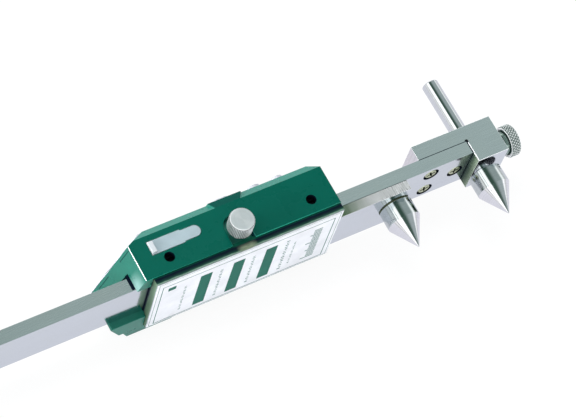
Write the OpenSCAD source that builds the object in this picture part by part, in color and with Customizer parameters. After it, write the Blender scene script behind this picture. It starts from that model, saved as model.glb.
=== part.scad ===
// Digital caliper for centre distances, with two cone points at its back.
// X runs along the beam from the fixed point to the beam's tail, Y from the display to the back,
// and Z up to the edge with the lock screw. Places are measured from the fixed point's axis (x),
// from the beam's back face (y) and from the beam's centre line (z). The origin is on the fixed
// point's axis, where its cone begins.

/* [Beam] */
// Width of the beam
beam_w = 16; // [15:0.5:17]
// Thickness of the beam
beam_t = 4; // [3.5:0.1:4.4]
// From the fixed point's axis to the beam's tail end
beam_tail = 292; // [240:1:340]
// Width of the scale strip
strip_w = 11; // [8:0.5:13]
// Thickness of the scale strip
strip_t = 0.6; // [0.4:0.1:1]
// Gap between the jaw block and the scale strip's start
strip_start = 2.4; // [1:0.1:5]
// Thickness of the end stop's plate
stop_t = 2.2; // [1.8:0.1:2.8]
// Length of the end stop along the beam
stop_len = 3; // [2.6:0.1:6]
// Width of the end stop
stop_w = 12; // [10:0.5:14]
// Diameter of the end stop's screws
stop_screw_d = 1.4; // [1:0.1:1.6]
// Depth of the end stop's screws in the beam
stop_screw_in = 3.4; // [2:0.1:3.4]
// Diameter of the end stop's screw heads
stop_head_d = 2.2; // [2:0.1:2.4]
// Height of the end stop's screw heads
stop_head_h = 0.7; // [0.4:0.1:1]

/* [Jaw block] */
// Reach of the block's front plate along the beam
block_reach = 19.6; // [18.6:0.1:21]
// From the point's axis to the block's free end
block_end = 6.7; // [6:0.1:8]
// From the point's axis to the step that the beam's end meets
block_step = 3.5; // [3:0.1:4.2]
// Thickness of the block's front plate
block_plate_t = 4.6; // [4:0.1:6]
// How far the thick part stands behind the beam
block_back = 3; // [2.9:0.1:3.4]
// Radius of the relief groove in the block's inner corner
relief_r = 0.55; // [0.3:0.05:0.8]

/* [Points] */
// Diameter of both points' bodies
point_d = 10; // [9:0.1:11]
// Length of each point's body
point_body = 5.5; // [4.5:0.1:7]
// Full angle of the cones
cone_angle = 60; // [50:1:70]
// Radius of the blunted tips
tip_r = 0.12; // [0.05:0.01:0.3]
// How far the fixed point stands out of its block at rest
point_out = 1.15; // [1:0.05:2]
// Diameter of the fixed point's rod
rod_d = 5; // [4.4:0.1:5.4]
// Length of the fixed point's rod
rod_len = 32; // [26:0.5:36]
// Chamfer of the rod's free end
rod_chamfer = 0.3; // [0.1:0.1:0.6]
// Distance between the two points at rest
point_gap = 29.5; // [24:0.5:60]
// Diameter of the slider point's stud
stud_d = 4; // [3:0.1:4.6]

/* [Clamp screw] */
// Distance of the clamp screw's axis in front of the beam's back face
clamp_depth = 2.3; // [1.8:0.1:3.2]
// Diameter of the clamp screw's thread
clamp_thread_d = 4; // [3:0.1:4.6]
// Free thread between the block and the knob's boss
clamp_neck = 2.6; // [1:0.1:4]
// Diameter of the knob's boss
clamp_boss_d = 7; // [5.5:0.1:8]
// Length of the knob's boss
clamp_boss_len = 1.2; // [0.6:0.1:2]
// Diameter of the knob's rim
clamp_knob_d = 9.7; // [8.6:0.1:12]
// Width of the knob's rim
clamp_knob_len = 3.1; // [2:0.1:5]
// Chamfer of the knob's rim
clamp_chamfer = 0.3; // [0.1:0.1:0.6]

/* [Block screws] */
// Diameter of the screw heads
head_d = 4.5; // [4:0.1:4.6]
// Diameter of the counterbores
bore_d = 4.9; // [4.8:0.1:5.2]
// Height of the screw heads
head_h = 1.4; // [1:0.1:1.6]
// How far the heads lie below the beam's back face
head_sink = 0.4; // [0.2:0.1:0.7]
// Diameter of the screws' threads
jaw_thread_d = 2.5; // [2:0.1:2.8]
// Thread length in the block
jaw_thread_in = 3.4; // [2.5:0.1:3.6]
// Distance of the far screw pair from the point's axis
pair_x = 16.8; // [15.6:0.1:17]
// Distance of the pair's screws from the centre line
pair_z = 4.4; // [3.8:0.1:4.8]
// Distance of the near screw from the point's axis
near_x = 7.7; // [7:0.1:9]
// Width of the cross slots
cross_w = 0.7; // [0.4:0.1:0.9]
// Share of the head's diameter that a cross slot spans
cross_span_share = 0.62; // [0.5:0.02:0.75]
// Depth of the cross slots
cross_h = 0.8; // [0.4:0.1:0.9]

/* [Slider plate] */
// Where the plate begins, towards the points
plate_jaw = 48.9; // [47:0.1:50]
// Length of the plate
plate_len = 58.1; // [56:0.1:60]
// Height of the plate's top edge above the centre line
plate_top = 12.65; // [12:0.05:12.8]
// Depth of the plate's bottom edge below the centre line
plate_bottom = 13.7; // [13:0.1:13.8]
// How far the plate and its arm reach behind the beam
plate_back = 3; // [2.6:0.1:3.4]
// From the slider point's axis to the arm's free end
arm_end = 3.5; // [3:0.1:5]
// How far the arm hangs below the beam
arm_drop = 0.5; // [0.2:0.1:0.8]
// Thickness of the rear label
label_t = 0.2; // [0.1:0.05:0.4]
// Rim of bare plate left around the label
label_rim = 0.25; // [0.1:0.05:0.6]

/* [Housing] */
// Height of the housing's top face above the centre line
top_z = 13.3; // [13.1:0.05:14]
// Depth of the housing's underside below the centre line
bottom_z = 14.3; // [14.1:0.05:15]
// How far the top face reaches past the slider plate's tail end
tail_past = 2.3; // [1.4:0.1:4]
// Lean of the tail end
tail_lean = 20.8; // [15:0.1:24]
// Depth of the tail end's lower corner
corner_z = 8.8; // [8.4:0.1:9.6]
// How far the lower corner is cut back
corner_cut = 3.1; // [2:0.1:4]
// Depth of the tail end's flat face
tail_depth = 10.45; // [10:0.05:10.8]
// Tilt of the slope in front of the tail end's flat face
slope_tilt = 63; // [60:1:66]
// How far the upper rail reaches behind the beam's back face
upper_lip = 0.8; // [0.5:0.1:1.2]
// How far the lower rail reaches behind the beam's back face
lower_lip = 2; // [1.4:0.1:2.4]
// Depth of the seam between housing and front cover
split_depth = 11.2; // [10.6:0.1:11.8]
// Flat rim of the front cover between the seam and its chamfers
rim = 0.15; // [0.1:0.05:0.4]
// Clearance in front of the beam where it leaves the housing
slot_front = 1.3; // [1.1:0.1:1.5]
// Length of the thumb rest
rest_len = 14; // [10:0.5:20]
// How far the thumb rest stands below the underside
rest_drop = 3; // [2:0.1:4]
// Thickness of the thumb rest
rest_t = 9; // [7:0.5:11]
// From the tail end's lower corner to the thumb rest
rest_gap = 5.9; // [5:0.1:7]
// Thickness of the housing's end walls
wall = 2.6; // [2:0.1:3]

/* [Front cover] */
// Depth of the cover's front face
front_depth = 14; // [13.6:0.1:15]
// Length of the land that interrupts the top edge's chamfer
land_len = 11.1; // [8:0.1:14]
// How much the land narrows upwards at its end towards the points
land_in_jaw = 2.2; // [0:0.1:3]
// How much the land narrows upwards at its other end
land_in_tail = 1; // [0:0.1:3]
// How far the land's front edge lies below the top face
land_drop = 1.55; // [1:0.05:2]
// Thickness of the cover's front wall
cover_wall = 2; // [1.6:0.1:2.2]
// From the display window to the coin cell's axis
window_gap = 13.3; // [13:0.1:16]
// Height of the display window
window_h = 15; // [12:0.5:15.5]
// Where the window begins, towards the points
window_jaw = 54.5; // [54:0.1:56]
// Height of the window's top edge above the centre line
window_top = 4.6; // [4:0.1:4.7]
// Thickness of the window
window_t = 1; // [0.8:0.1:1.2]
// Ledge that the window sits on
window_ledge = 1; // [0.6:0.1:1.4]

/* [Electronics] */
// Thickness of the circuit board
board_t = 0.8; // [0.6:0.1:1]
// Free space between the beam and the circuit board
board_air = 0.25; // [0.2:0.05:0.4]
// Height of the circuit board's top edge above the centre line
board_top = 8.95; // [8.9:0.05:9]
// Thickness of the display glass
lcd_t = 1.6; // [1.2:0.1:2]
// Space left in front of the display glass
lcd_air = 0.1; // [0.05:0.05:0.2]
// Wall of the display frame
lcd_frame_wall = 0.8; // [0.6:0.1:1]
// Width of the display's rubber connectors
zebra_w = 1; // [0.8:0.1:1.4]
// Length and height of the large chip
chip_size = 7; // [5:0.5:8]
// Thickness of the chips
chip_t = 1.2; // [0.8:0.1:1.6]

/* [Buttons] */
// Diameter of the two round buttons
button_d = 4.2; // [3.6:0.1:4.2]
// Length of the long button
long_button_len = 6.4; // [5.5:0.1:7]
// Height of the buttons above the centre line
button_z = 7.7; // [7.6:0.1:7.8]
// How far the buttons stand out of the cover
button_out = 1.1; // [0.9:0.1:1.6]
// Place of the first round button, as a share of the slider plate's length
button_1_share = 0.196; // [0.19:0.002:0.21]
// Place of the second round button, as a share of the slider plate's length
button_2_share = 0.32; // [0.312:0.002:0.328]
// Place of the long button, as a share of the slider plate's length
button_3_share = 0.504; // [0.498:0.002:0.51]
// Travel of the buttons
button_travel = 0.5; // [0.3:0.1:0.6]
// Thickness of the buttons' flanges
flange_t = 0.5; // [0.4:0.1:0.6]
// How far the flanges stand out round the buttons
flange_out = 0.3; // [0.2:0.05:0.35]
// Diameter of the button stems
stem_d = 2; // [1.6:0.1:2.4]
// Diameter of the switches
switch_d = 2.5; // [2:0.1:2.5]
// Thickness of the switches
switch_t = 1; // [0.8:0.1:1.2]

/* [Battery] */
// Diameter of the coin cell
cell_d = 20; // [19.6:0.1:20]
// Thickness of the coin cell
cell_t = 3.2; // [2.8:0.1:3.3]
// From the cell's axis to the slider plate's tail end
cell_gap = 4.2; // [4:0.1:4.4]
// Depth of the cell's centre below the centre line
cell_z = 2.6; // [2.4:0.1:2.9]
// Clearance round the cell
cell_air = 0.3; // [0.2:0.05:0.4]
// Thickness of the contact plates
contact_t = 0.2; // [0.1:0.05:0.3]
// From the cell's axis to the battery lid's end towards the points
lid_gap = 11.2; // [11:0.1:11.6]
// Height of the lid's top edge above the centre line
lid_top = 9.8; // [9:0.1:10]
// Depth of the lid's bottom edge below the centre line
lid_bottom = 12.9; // [12.6:0.1:13.2]
// Thickness of the lid
lid_t = 2.3; // [2:0.1:2.4]
// How far the lid stands in front of the cover
lid_out = 0.1; // [0.05:0.05:0.2]
// Thickness of the lid's lip at the tail end
lid_lip = 1.4; // [1:0.1:1.6]
// Lean of the lid's sloping end
lid_lean = 25.9; // [22:0.1:28]
// Tilt of the lid's sloping end
lid_tilt = 52; // [48:1:56]

/* [Gib and lock] */
// Thickness of the gib strip
gib_t = 1.2; // [1:0.1:1.3]
// Width of the gib strip
gib_w = 3.4; // [3:0.1:3.5]
// From the gib to the level of the beam's back face
gib_back = 0.2; // [0.1:0.05:0.3]
// Diameter of the gib's set screws
set_d = 3; // [2.4:0.1:3.2]
// Length of the set screws
set_len = 2.2; // [1.6:0.1:2.6]
// Depth of the set screws' axis in front of the beam's back face
set_depth = 3.2; // [2.6:0.1:3.3]
// Place of the first set screw
set_1_x = 56.3; // [56:0.1:57]
// From the second set screw to the slider plate's tail end
set_2_gap = 6.7; // [6:0.1:7.4]
// Place of the lock screw, as a share of the slider plate's length
lock_share = 0.524; // [0.518:0.002:0.53]
// Depth of the lock screw's axis in front of the beam's back face
lock_depth = 2.86; // [2.5:0.02:3.2]
// Diameter of the lock screw's knob
lock_knob_d = 7.3; // [6.4:0.1:8]
// Height of the lock screw's knob
lock_knob_h = 5.1; // [4:0.1:6]
// Space between the top face and the knob
lock_air = 1.5; // [1:0.1:2]
// Chamfer of the lock screw's knob
lock_chamfer = 0.45; // [0.2:0.05:0.7]
// Diameter of the lock screw's thread
lock_thread_d = 3; // [2.4:0.1:3.4]
// Width of the notch round the lock screw
notch_w = 6.9; // [6.4:0.1:7.4]
// Depth of the notch below the top face
notch_h = 2; // [1:0.1:2.4]
// Depth of the notch's round end in front of the beam's back face
notch_depth = 4.4; // [4:0.1:5]

/* [Data port] */
// From the port cover to the slider plate's tail end
port_gap = 2.8; // [2.4:0.1:3.2]
// Length of the port cover
port_len = 15.5; // [15:0.1:16]
// Length of the port cover's wide part
port_wide_len = 10; // [9:0.1:11]
// Width of the port cover's wide part
port_wide_w = 4.1; // [3.9:0.1:4.3]
// Width of the port cover's narrow part
port_narrow_w = 3.45; // [3.2:0.05:3.8]
// Depth of the port's middle in front of the beam's back face
port_depth = 7.48; // [7.3:0.02:7.6]
// Thickness of the port cover
port_t = 0.9; // [0.7:0.1:1]
// Length of the port cover's tab
tab_len = 1.5; // [1.2:0.1:2]
// Height of the port cover's tab
tab_h = 0.8; // [0.5:0.1:1]
// Width of the port's socket
socket_w = 2.9; // [2.4:0.1:3.2]
// From the port cover's ends to the socket's
socket_inset = 2.6; // [2:0.1:3]
// Height of the port's contact pads
pad_h = 0.3; // [0.2:0.05:0.5]
// Diameter of the port's contact pads
pad_d = 1.2; // [0.8:0.1:1.4]
// Number of contact pads
pad_count = 4; // [3:1:4]

/* [Small screws] */
// Diameter of the plate screws' threads
plate_thread_d = 2; // [1.6:0.1:2.2]
// Diameter of the plate screws' heads
plate_head_d = 3.4; // [3:0.1:3.5]
// Height of the plate screws' heads
plate_head_h = 1.2; // [0.8:0.1:1.6]
// Length of the plate screws in the housing
plate_thread_in = 3.2; // [2:0.1:3.6]
// Diameter of the cover screws' threads
cover_thread_d = 1.6; // [1.2:0.1:1.6]
// Diameter of the cover screws' heads
cover_head_d = 2.6; // [2.2:0.1:2.8]
// Height of the cover screws' heads
cover_head_h = 1.2; // [0.8:0.1:1.5]
// Length of the cover screws in the cover
cover_thread_in = 0.8; // [0.6:0.1:0.9]

/* [Fits] */
// Clearance of sliding faces
slide_fit = 0.05; // [0.03:0.01:0.08]
// Radial clearance of turning and sliding shafts
turn_fit = 0.05; // [0.02:0.01:0.08]
// Clearance round trim pieces
trim_fit = 0.1; // [0.05:0.01:0.12]
// How far cutting shapes run past the faces they cut
overrun = 1; // [0.5:0.1:2]

/* [Hidden] */
$fn = 96;

half_w = beam_w / 2;
point_r = point_d / 2;
rod_r = rod_d / 2;
cone_h = (point_r - tip_r) / tan(cone_angle / 2);
body_start = block_back + point_out;
shoulder = body_start + point_body;
block_front = -beam_t - block_plate_t;
beam_head = block_step + trim_fit;
screw_places = [[pair_x, pair_z], [pair_x, -pair_z], [near_x, 0]];
strip_head = block_reach + strip_start;
strip_tail = beam_tail - stop_len - strip_start;
stop_screw_z = stop_w / 4;

plate_tail = plate_jaw + plate_len;
arm_jaw = point_gap - arm_end;
plate_screw_inset = 11.6;
plate_screw_z = 10.6;
plate_screw_x = [plate_jaw + plate_screw_inset, plate_tail - plate_screw_inset];

front_y = -front_depth;
split_y = -split_depth;
slot_y = -beam_t - slot_front;
tail_top = plate_tail + tail_past;
lock_x = plate_jaw + lock_share * plate_len;
button_x = [for (share = [button_1_share, button_2_share, button_3_share])
    plate_jaw + share * plate_len];
cell_x = plate_tail - cell_gap;
port_tail = plate_tail - port_gap;
port_jaw = port_tail - port_len;
lid_jaw = cell_x - lid_gap;
land_jaw_share = 0.55;
land_jaw = button_x[2] - land_jaw_share * land_len;
land_tail = land_jaw + land_len;
corner_x = tail_top + (top_z + corner_z) * tan(tail_lean);
outline = [[plate_jaw, -bottom_z], [plate_jaw, top_z], [tail_top, top_z], [corner_x, -corner_z],
    [corner_x - corner_cut, -bottom_z]];
chamfer = front_depth - split_depth - rim;
land_back = 0.1;
land_run = chamfer - land_back;
lid_slope_z = -2.2;
rest_tail = corner_x - rest_gap;
rest_ramp = rest_drop / 2;
board_y = -beam_t - board_air;
board_front = board_y - board_t;
cavity_z = 10.4;
cavity_jaw = plate_jaw + wall;
board_past = 2;
cavity_tail = cell_x + board_past;
cell_floor = front_y + lid_t - lid_out + cell_air + cell_t + contact_t;
display_tail = cell_x - cell_d / 2 - cell_air - wall / 2;

window_tail = cell_x - window_gap;
window_bottom = window_top - window_h;
cover_inner = front_y + cover_wall;
lcd_front = cover_inner + lcd_air;
lcd_back = lcd_front + lcd_t;
frame_grow = lcd_frame_wall / 2;
cavity_low = frame_grow + trim_fit - window_bottom;

button_r = button_d / 2;
flange_y = cover_inner + trim_fit;
switch_y = board_front - switch_t;
stem_tip = switch_y - button_travel - trim_fit;

clamp_boss_start = block_end + clamp_neck;
clamp_rim_start = clamp_boss_start + clamp_boss_len;
clamp_rim_end = clamp_rim_start + clamp_knob_len;
lock_under = top_z + lock_air;

gib_top = half_w + slide_fit + gib_t;
gib_front = -gib_w - gib_back;
set_x = [set_1_x, plate_tail - set_2_gap];
notch_floor = top_z - notch_h;

port_floor = top_z - port_t - trim_fit;
port_step = port_tail - port_wide_len;
socket_top = port_floor - pad_h;
socket_x = [port_jaw + socket_inset, port_tail - socket_inset];

cover_screw_high = 11.5;
cover_screw_low = 12.3;
cover_screw_inset = 3.8;
cover_screw_jaw = plate_jaw + cover_screw_inset;
cover_screw_low_gap = 5.6;
cover_screw_top_x = (lock_x + notch_w / 2 + socket_x[0]) / 2;
cover_screw_low_x = plate_screw_x[1] - cover_screw_low_gap;
cover_screw_places = [[cover_screw_jaw, cover_screw_high], [cover_screw_top_x, cover_screw_high],
    [cover_screw_jaw, -cover_screw_low], [cover_screw_low_x, -cover_screw_low]];

// Moves a piece from the beam's frame to the fixed point's shoulder
module placed() translate([0, -shoulder, 0]) children();

// Box between two places on each axis
module bar(x, y, z) translate([x[0], y[0], z[0]]) cube([x[1] - x[0], y[1] - y[0], z[1] - z[0]]);

// Flat shape, drawn in x and z, between two depths
module slab(y) translate([0, y[1], 0]) rotate([90, 0, 0]) linear_extrude(y[1] - y[0]) children();

// Round bars along each axis, between two places
module rod_x(x, r) translate([x[0], 0, 0]) rotate([0, 90, 0]) cylinder(r = r, h = x[1] - x[0]);
module rod_y(y, r) translate([0, y[0], 0]) rotate([-90, 0, 0]) cylinder(r = r, h = y[1] - y[0]);
module rod_z(z, r) translate([0, 0, z[0]]) cylinder(r = r, h = z[1] - z[0]);

// Turned shape along +Y from pairs of radius and depth
module turned(points) rotate([-90, 0, 0]) rotate_extrude() polygon(points);

// Flat steel bar with a shallow bed for the scale and three counterbored holes at its head
module main_beam() color([0.74, 0.76, 0.78]) placed() difference() {
    bar([beam_head, beam_tail], [-beam_t, 0], [-half_w, half_w]);
    bar([strip_head, strip_tail], [-beam_t - overrun, -beam_t + strip_t],
        [-strip_w / 2, strip_w / 2]);
    for (p = screw_places) translate([p[0], 0, p[1]]) {
        rod_y([-beam_t - overrun, overrun], jaw_thread_d / 2 + trim_fit);
        rod_y([-head_h - head_sink, overrun], bore_d / 2);
    }
    for (z = [-stop_screw_z, stop_screw_z]) translate([beam_tail - stop_len / 2, 0, z])
        rod_y([-beam_t - overrun, -beam_t + stop_screw_in], stop_screw_d / 2);
}

// Printed strip that lies flush in the beam's front face
module scale_strip() color([0.16, 0.17, 0.18]) placed()
    bar([strip_head, strip_tail], [-beam_t, -beam_t + strip_t], [-strip_w / 2, strip_w / 2]);

// Small plate that keeps the slider on the beam
module end_stop() color([0.70, 0.72, 0.74]) placed() difference() {
    bar([beam_tail - stop_len, beam_tail], [-beam_t - stop_t, -beam_t], [-stop_w / 2, stop_w / 2]);
    for (z = [-stop_screw_z, stop_screw_z]) translate([beam_tail - stop_len / 2, 0, z])
        rod_y([-beam_t - stop_t - overrun, 0], stop_screw_d / 2 + trim_fit);
}

// Two screws that hold the end stop
module end_stop_screws() color([0.60, 0.62, 0.64]) placed()
    for (z = [-stop_screw_z, stop_screw_z]) translate([beam_tail - stop_len / 2, 0, z]) {
        rod_y([-beam_t - stop_t, -beam_t + stop_screw_in], stop_screw_d / 2);
        rod_y([-beam_t - stop_t - stop_head_h, -beam_t - stop_t], stop_head_d / 2);
    }

// Jaw block: a front plate on the beam's front and a thick end that carries the fixed point
module jaw_block() color([0.72, 0.75, 0.76]) placed() difference() {
    translate([0, 0, -half_w]) linear_extrude(beam_w) polygon([
        [-block_end, block_front], [block_reach, block_front], [block_reach, -beam_t],
        [block_step, -beam_t], [block_step, block_back], [-block_end, block_back]]);
    translate([block_step, -beam_t, 0])
        rod_z([-half_w - overrun, half_w + overrun], relief_r);
    rod_y([block_front - overrun, block_back + overrun], rod_r + turn_fit);
    translate([0, -clamp_depth, 0])
        rod_x([-block_end - overrun, 0], clamp_thread_d / 2 + turn_fit);
    for (p = screw_places) translate([p[0], 0, p[1]])
        rod_y([-beam_t - jaw_thread_in - trim_fit, -beam_t + overrun], jaw_thread_d / 2);
}

// Three cross-slotted screws through the beam into the block's front plate
module jaw_screws() color([0.80, 0.80, 0.78]) placed()
    for (p = screw_places) translate([p[0], 0, p[1]]) difference() {
        union() {
            rod_y([-head_sink - head_h, -head_sink], head_d / 2);
            rod_y([-beam_t - jaw_thread_in, -head_sink - head_h], jaw_thread_d / 2);
        }
        for (turn = [0, 90]) rotate([0, turn, 0])
            bar([-head_d * cross_span_share / 2, head_d * cross_span_share / 2],
                [-head_sink - cross_h, 0], [-cross_w / 2, cross_w / 2]);
    }

// Fixed point: rod, body and cone turned from one piece, its height set by hand
module fixed_point() color([0.82, 0.83, 0.85]) placed() turned([
    [0, body_start - rod_len], [rod_r - rod_chamfer, body_start - rod_len],
    [rod_r, body_start - rod_len + rod_chamfer], [rod_r, body_start], [point_r, body_start],
    [point_r, shoulder], [tip_r, shoulder + cone_h], [0, shoulder + cone_h]]);

// Knurled screw in the block's end that clamps the fixed point's rod
module clamp_screw() color([0.78, 0.79, 0.81]) placed() translate([0, -clamp_depth, 0])
    rotate([0, -90, 0]) rotate_extrude() polygon([
        [0, rod_r + trim_fit], [clamp_thread_d / 2, rod_r + trim_fit],
        [clamp_thread_d / 2, clamp_boss_start], [clamp_boss_d / 2, clamp_boss_start],
        [clamp_boss_d / 2, clamp_rim_start], [clamp_knob_d / 2 - clamp_chamfer, clamp_rim_start],
        [clamp_knob_d / 2, clamp_rim_start + clamp_chamfer],
        [clamp_knob_d / 2, clamp_rim_end - clamp_chamfer],
        [clamp_knob_d / 2 - clamp_chamfer, clamp_rim_end], [0, clamp_rim_end]]);

// Steel plate on the slider's back, with the arm that carries the slider point
module slider_plate() color([0.76, 0.77, 0.79]) placed() difference() {
    slab([slide_fit, plate_back]) union() {
        translate([plate_jaw, -plate_bottom]) square([plate_len, plate_top + plate_bottom]);
        translate([arm_jaw, -half_w - arm_drop])
            square([plate_jaw - arm_jaw + overrun, beam_w + arm_drop]);
    }
    translate([point_gap, 0, 0]) rod_y([-overrun, plate_back + overrun], stud_d / 2);
    for (x = plate_screw_x, z = [-plate_screw_z, plate_screw_z]) translate([x, 0, z]) {
        rod_y([-overrun, plate_back + overrun], plate_thread_d / 2 + trim_fit);
        rod_y([plate_back - plate_head_h, plate_back + overrun], plate_head_d / 2 + turn_fit);
    }
}

// Slider point: body and cone with a stud pressed into the arm
module slider_point() color([0.82, 0.83, 0.85]) placed() translate([point_gap, 0, 0]) turned([
    [0, slide_fit], [stud_d / 2, slide_fit], [stud_d / 2, plate_back], [point_r, plate_back],
    [point_r, plate_back + point_body], [tip_r, plate_back + point_body + cone_h],
    [0, plate_back + point_body + cone_h]]);

// White plate stuck on the slider's back
module rear_label() color([0.94, 0.94, 0.96]) placed() slab([plate_back, plate_back + label_t])
    translate([plate_jaw + label_rim, label_rim - plate_bottom])
        square([plate_len - 2 * label_rim, plate_top + plate_bottom - 2 * label_rim]);

// Four screws that hold the plate to the housing, below the label
module plate_screws() color([0.62, 0.64, 0.66]) placed()
    for (x = plate_screw_x, z = [-plate_screw_z, plate_screw_z]) translate([x, 0, z]) {
        rod_y([plate_back - plate_head_h, plate_back], plate_head_d / 2);
        rod_y([-plate_thread_in, plate_back - plate_head_h], plate_thread_d / 2);
    }

// Green metal housing that runs round the beam
module housing() color([0.05, 0.40, 0.32]) placed() difference() {
    union() {
        slab([split_y, upper_lip]) polygon(outline);
        slab([split_y, lower_lip]) intersection() {
            polygon(outline);
            translate([0, -bottom_z - overrun]) square([beam_tail, bottom_z + overrun - half_w]);
        }
        slab([lower_lip - rest_t, lower_lip]) polygon([
            [rest_tail - rest_len - rest_ramp, -bottom_z], [rest_tail + rest_ramp, -bottom_z],
            [rest_tail, -bottom_z - rest_drop], [rest_tail - rest_len, -bottom_z - rest_drop]]);
    }
    bar([plate_jaw - overrun, corner_x + overrun], [slot_y, lower_lip + overrun],
        [-half_w - slide_fit, half_w + slide_fit]);
    bar([plate_jaw - overrun, plate_tail + trim_fit], [slide_fit, lower_lip + overrun],
        [-plate_bottom - trim_fit, plate_top + trim_fit]);
    bar([cavity_jaw, display_tail], [split_y - overrun, slot_y - overrun - board_t / 2],
        [-cavity_low, cavity_z]);
    bar([cavity_jaw, cavity_tail], [slot_y - overrun - board_t, board_y],
        [-cavity_low, board_top + trim_fit]);
    bar([cavity_jaw, cavity_tail], [gib_front - trim_fit, overrun], [0, gib_top + slide_fit]);
    translate([cell_x, 0, -cell_z])
        rod_y([split_y - overrun, cell_floor], cell_d / 2 + cell_air);
    for (x = set_x) translate([x, -set_depth, 0]) rod_z([gib_top, top_z + overrun], set_d / 2);
    translate([lock_x, -lock_depth, 0])
        rod_z([gib_top, top_z + overrun], lock_thread_d / 2 + turn_fit);
    translate([lock_x, -notch_depth, 0]) rod_z([notch_floor, top_z + overrun], notch_w / 2);
    bar([lock_x - notch_w / 2, lock_x + notch_w / 2], [-notch_depth, lower_lip],
        [notch_floor, top_z + overrun]);
    translate([0, -port_depth, port_floor]) linear_extrude(port_t + overrun) port_shape(trim_fit);
    bar(socket_x, [-port_depth - socket_w / 2, -port_depth + socket_w / 2],
        [cavity_z, top_z]);
    for (p = plate_screw_x, z = [-plate_screw_z, plate_screw_z]) translate([p, 0, z])
        rod_y([-plate_thread_in - trim_fit, overrun], plate_thread_d / 2);
    for (p = cover_screw_places) translate([p[0], 0, p[1]]) {
        rod_y([split_y - overrun, overrun], cover_thread_d / 2 + turn_fit);
        rod_y([-cover_head_h, lower_lip + overrun], cover_head_d / 2 + turn_fit);
    }
    tail_cut([tail_top, -tail_depth, top_z], tail_lean, slope_tilt);
    slab([split_y - overrun, trim_fit - tail_depth]) lip_shape(trim_fit);
}

// Plan of the port cover: a wide part and a narrow part with a round end
module port_shape(grow) {
    end_r = port_narrow_w / 2 + grow;
    translate([port_jaw + port_narrow_w / 2, 0]) circle(r = end_r);
    translate([port_jaw + port_narrow_w / 2, -end_r])
        square([port_tail - port_jaw - port_narrow_w, 2 * end_r]);
    translate([port_step - grow, -port_wide_w / 2 - grow])
        square([port_wide_len + 2 * grow, port_wide_w + 2 * grow]);
}

// Straight cut along one edge of the front face
module edge_cut(from, to, past) {
    edge = to - from;
    side = chamfer * sqrt(2);
    translate([from[0], front_y, from[1]]) rotate([0, -atan2(edge[1], edge[0]), 0])
        translate([-past[0], 0, 0]) rotate([45, 0, 0]) translate([0, -side / 2, -side / 2])
            cube([norm(edge) + past[0] + past[1], side, side]);
}

// Cut along the top edge, up to a slanting end at the land
module top_cut(from, front_to, top_to) {
    side = chamfer * sqrt(2);
    translate([0, front_y, top_z]) rotate([45, 0, 0]) translate([0, 0, -side / 2])
        linear_extrude(side) polygon([[from, -side / 2], [front_to, -side / 2],
            [top_to, side / 2], [from, side / 2]]);
}

// Sloping cut over the whole length of the land
module land_cut() translate([land_jaw - overrun, front_y, top_z - land_drop])
    rotate([atan2(land_drop, land_run), 0, 0]) translate([0, -overrun, 0])
        cube([land_len + 2 * overrun, norm([land_run, land_drop]) + 2 * overrun, land_drop + overrun]);

// Everything outside a slope that starts at a point of the tail end and leans towards the front
module tail_cut(start, lean, tilt) translate(start) rotate([0, -lean, 0]) rotate([0, 0, -tilt])
    translate([0, -front_depth, -front_depth - bottom_z])
        cube([front_depth, 2 * front_depth, 2 * front_depth + 2 * bottom_z]);

// Plan of the battery lid
module lid_shape() intersection() {
    polygon(outline);
    translate([lid_jaw, -lid_bottom]) square([corner_x, lid_top + lid_bottom]);
}

// Plan of the lid's lip, along the tail end
module lip_shape(grow) difference() {
    intersection() {
        polygon(outline);
        translate([lid_jaw, -lid_bottom - grow])
            square([corner_x, lid_top + lid_bottom + 2 * grow]);
    }
    translate([tail_top, top_z]) rotate(tail_lean)
        translate([-corner_x - lid_lip - grow, -corner_x]) square([corner_x, 2 * corner_x]);
}

// Green front cover with bevelled edges, the display window's seat and the buttons' holes
module front_cover() color([0.06, 0.42, 0.34]) placed() difference() {
    slab([front_y, split_y]) polygon(outline);
    top_cut(plate_jaw - overrun, land_jaw, land_jaw + land_in_jaw);
    top_cut(tail_top + overrun, land_tail, land_tail - land_in_tail);
    land_cut();
    edge_cut(outline[0], outline[1], [overrun, overrun]);
    edge_cut(outline[3], outline[4], [overrun, overrun]);
    edge_cut(outline[4], outline[0], [overrun, overrun]);
    tail_cut([tail_top, -tail_depth, top_z], tail_lean, slope_tilt);
    bar([cavity_jaw, display_tail], [cover_inner, split_y + overrun], [-cavity_low, cavity_z]);
    bar([window_jaw, window_tail], [front_y - overrun, front_y + window_t],
        [window_bottom, window_top]);
    bar([window_jaw + window_ledge, window_tail - window_ledge], [front_y, split_y],
        [window_bottom + window_ledge, window_top - window_ledge]);
    for (x = [button_x[0], button_x[1]]) translate([x, 0, button_z])
        rod_y([front_y - overrun, split_y], button_r + turn_fit);
    slab([front_y - overrun, split_y]) translate([button_x[2], button_z]) long_shape(turn_fit);
    bar([lid_jaw - trim_fit, corner_x + overrun],
        [front_y - overrun, front_y + lid_t - lid_out + trim_fit],
        [-lid_bottom - trim_fit, lid_top + trim_fit]);
    slab([front_y, split_y + overrun]) lip_shape(trim_fit);
    translate([cell_x, 0, -cell_z]) rod_y([front_y, split_y + overrun], cell_d / 2 + cell_air);
    for (p = cover_screw_places) translate([p[0], 0, p[1]])
        rod_y([split_y - cover_thread_in - trim_fit, split_y + overrun], cover_thread_d / 2);
}

// Four screws that hold the front cover, below the slider plate
module cover_screws() color([0.62, 0.64, 0.66]) placed()
    for (p = cover_screw_places) translate([p[0], 0, p[1]]) {
        rod_y([-cover_head_h, 0], cover_head_d / 2);
        rod_y([split_y - cover_thread_in, -cover_head_h], cover_thread_d / 2);
    }

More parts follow.
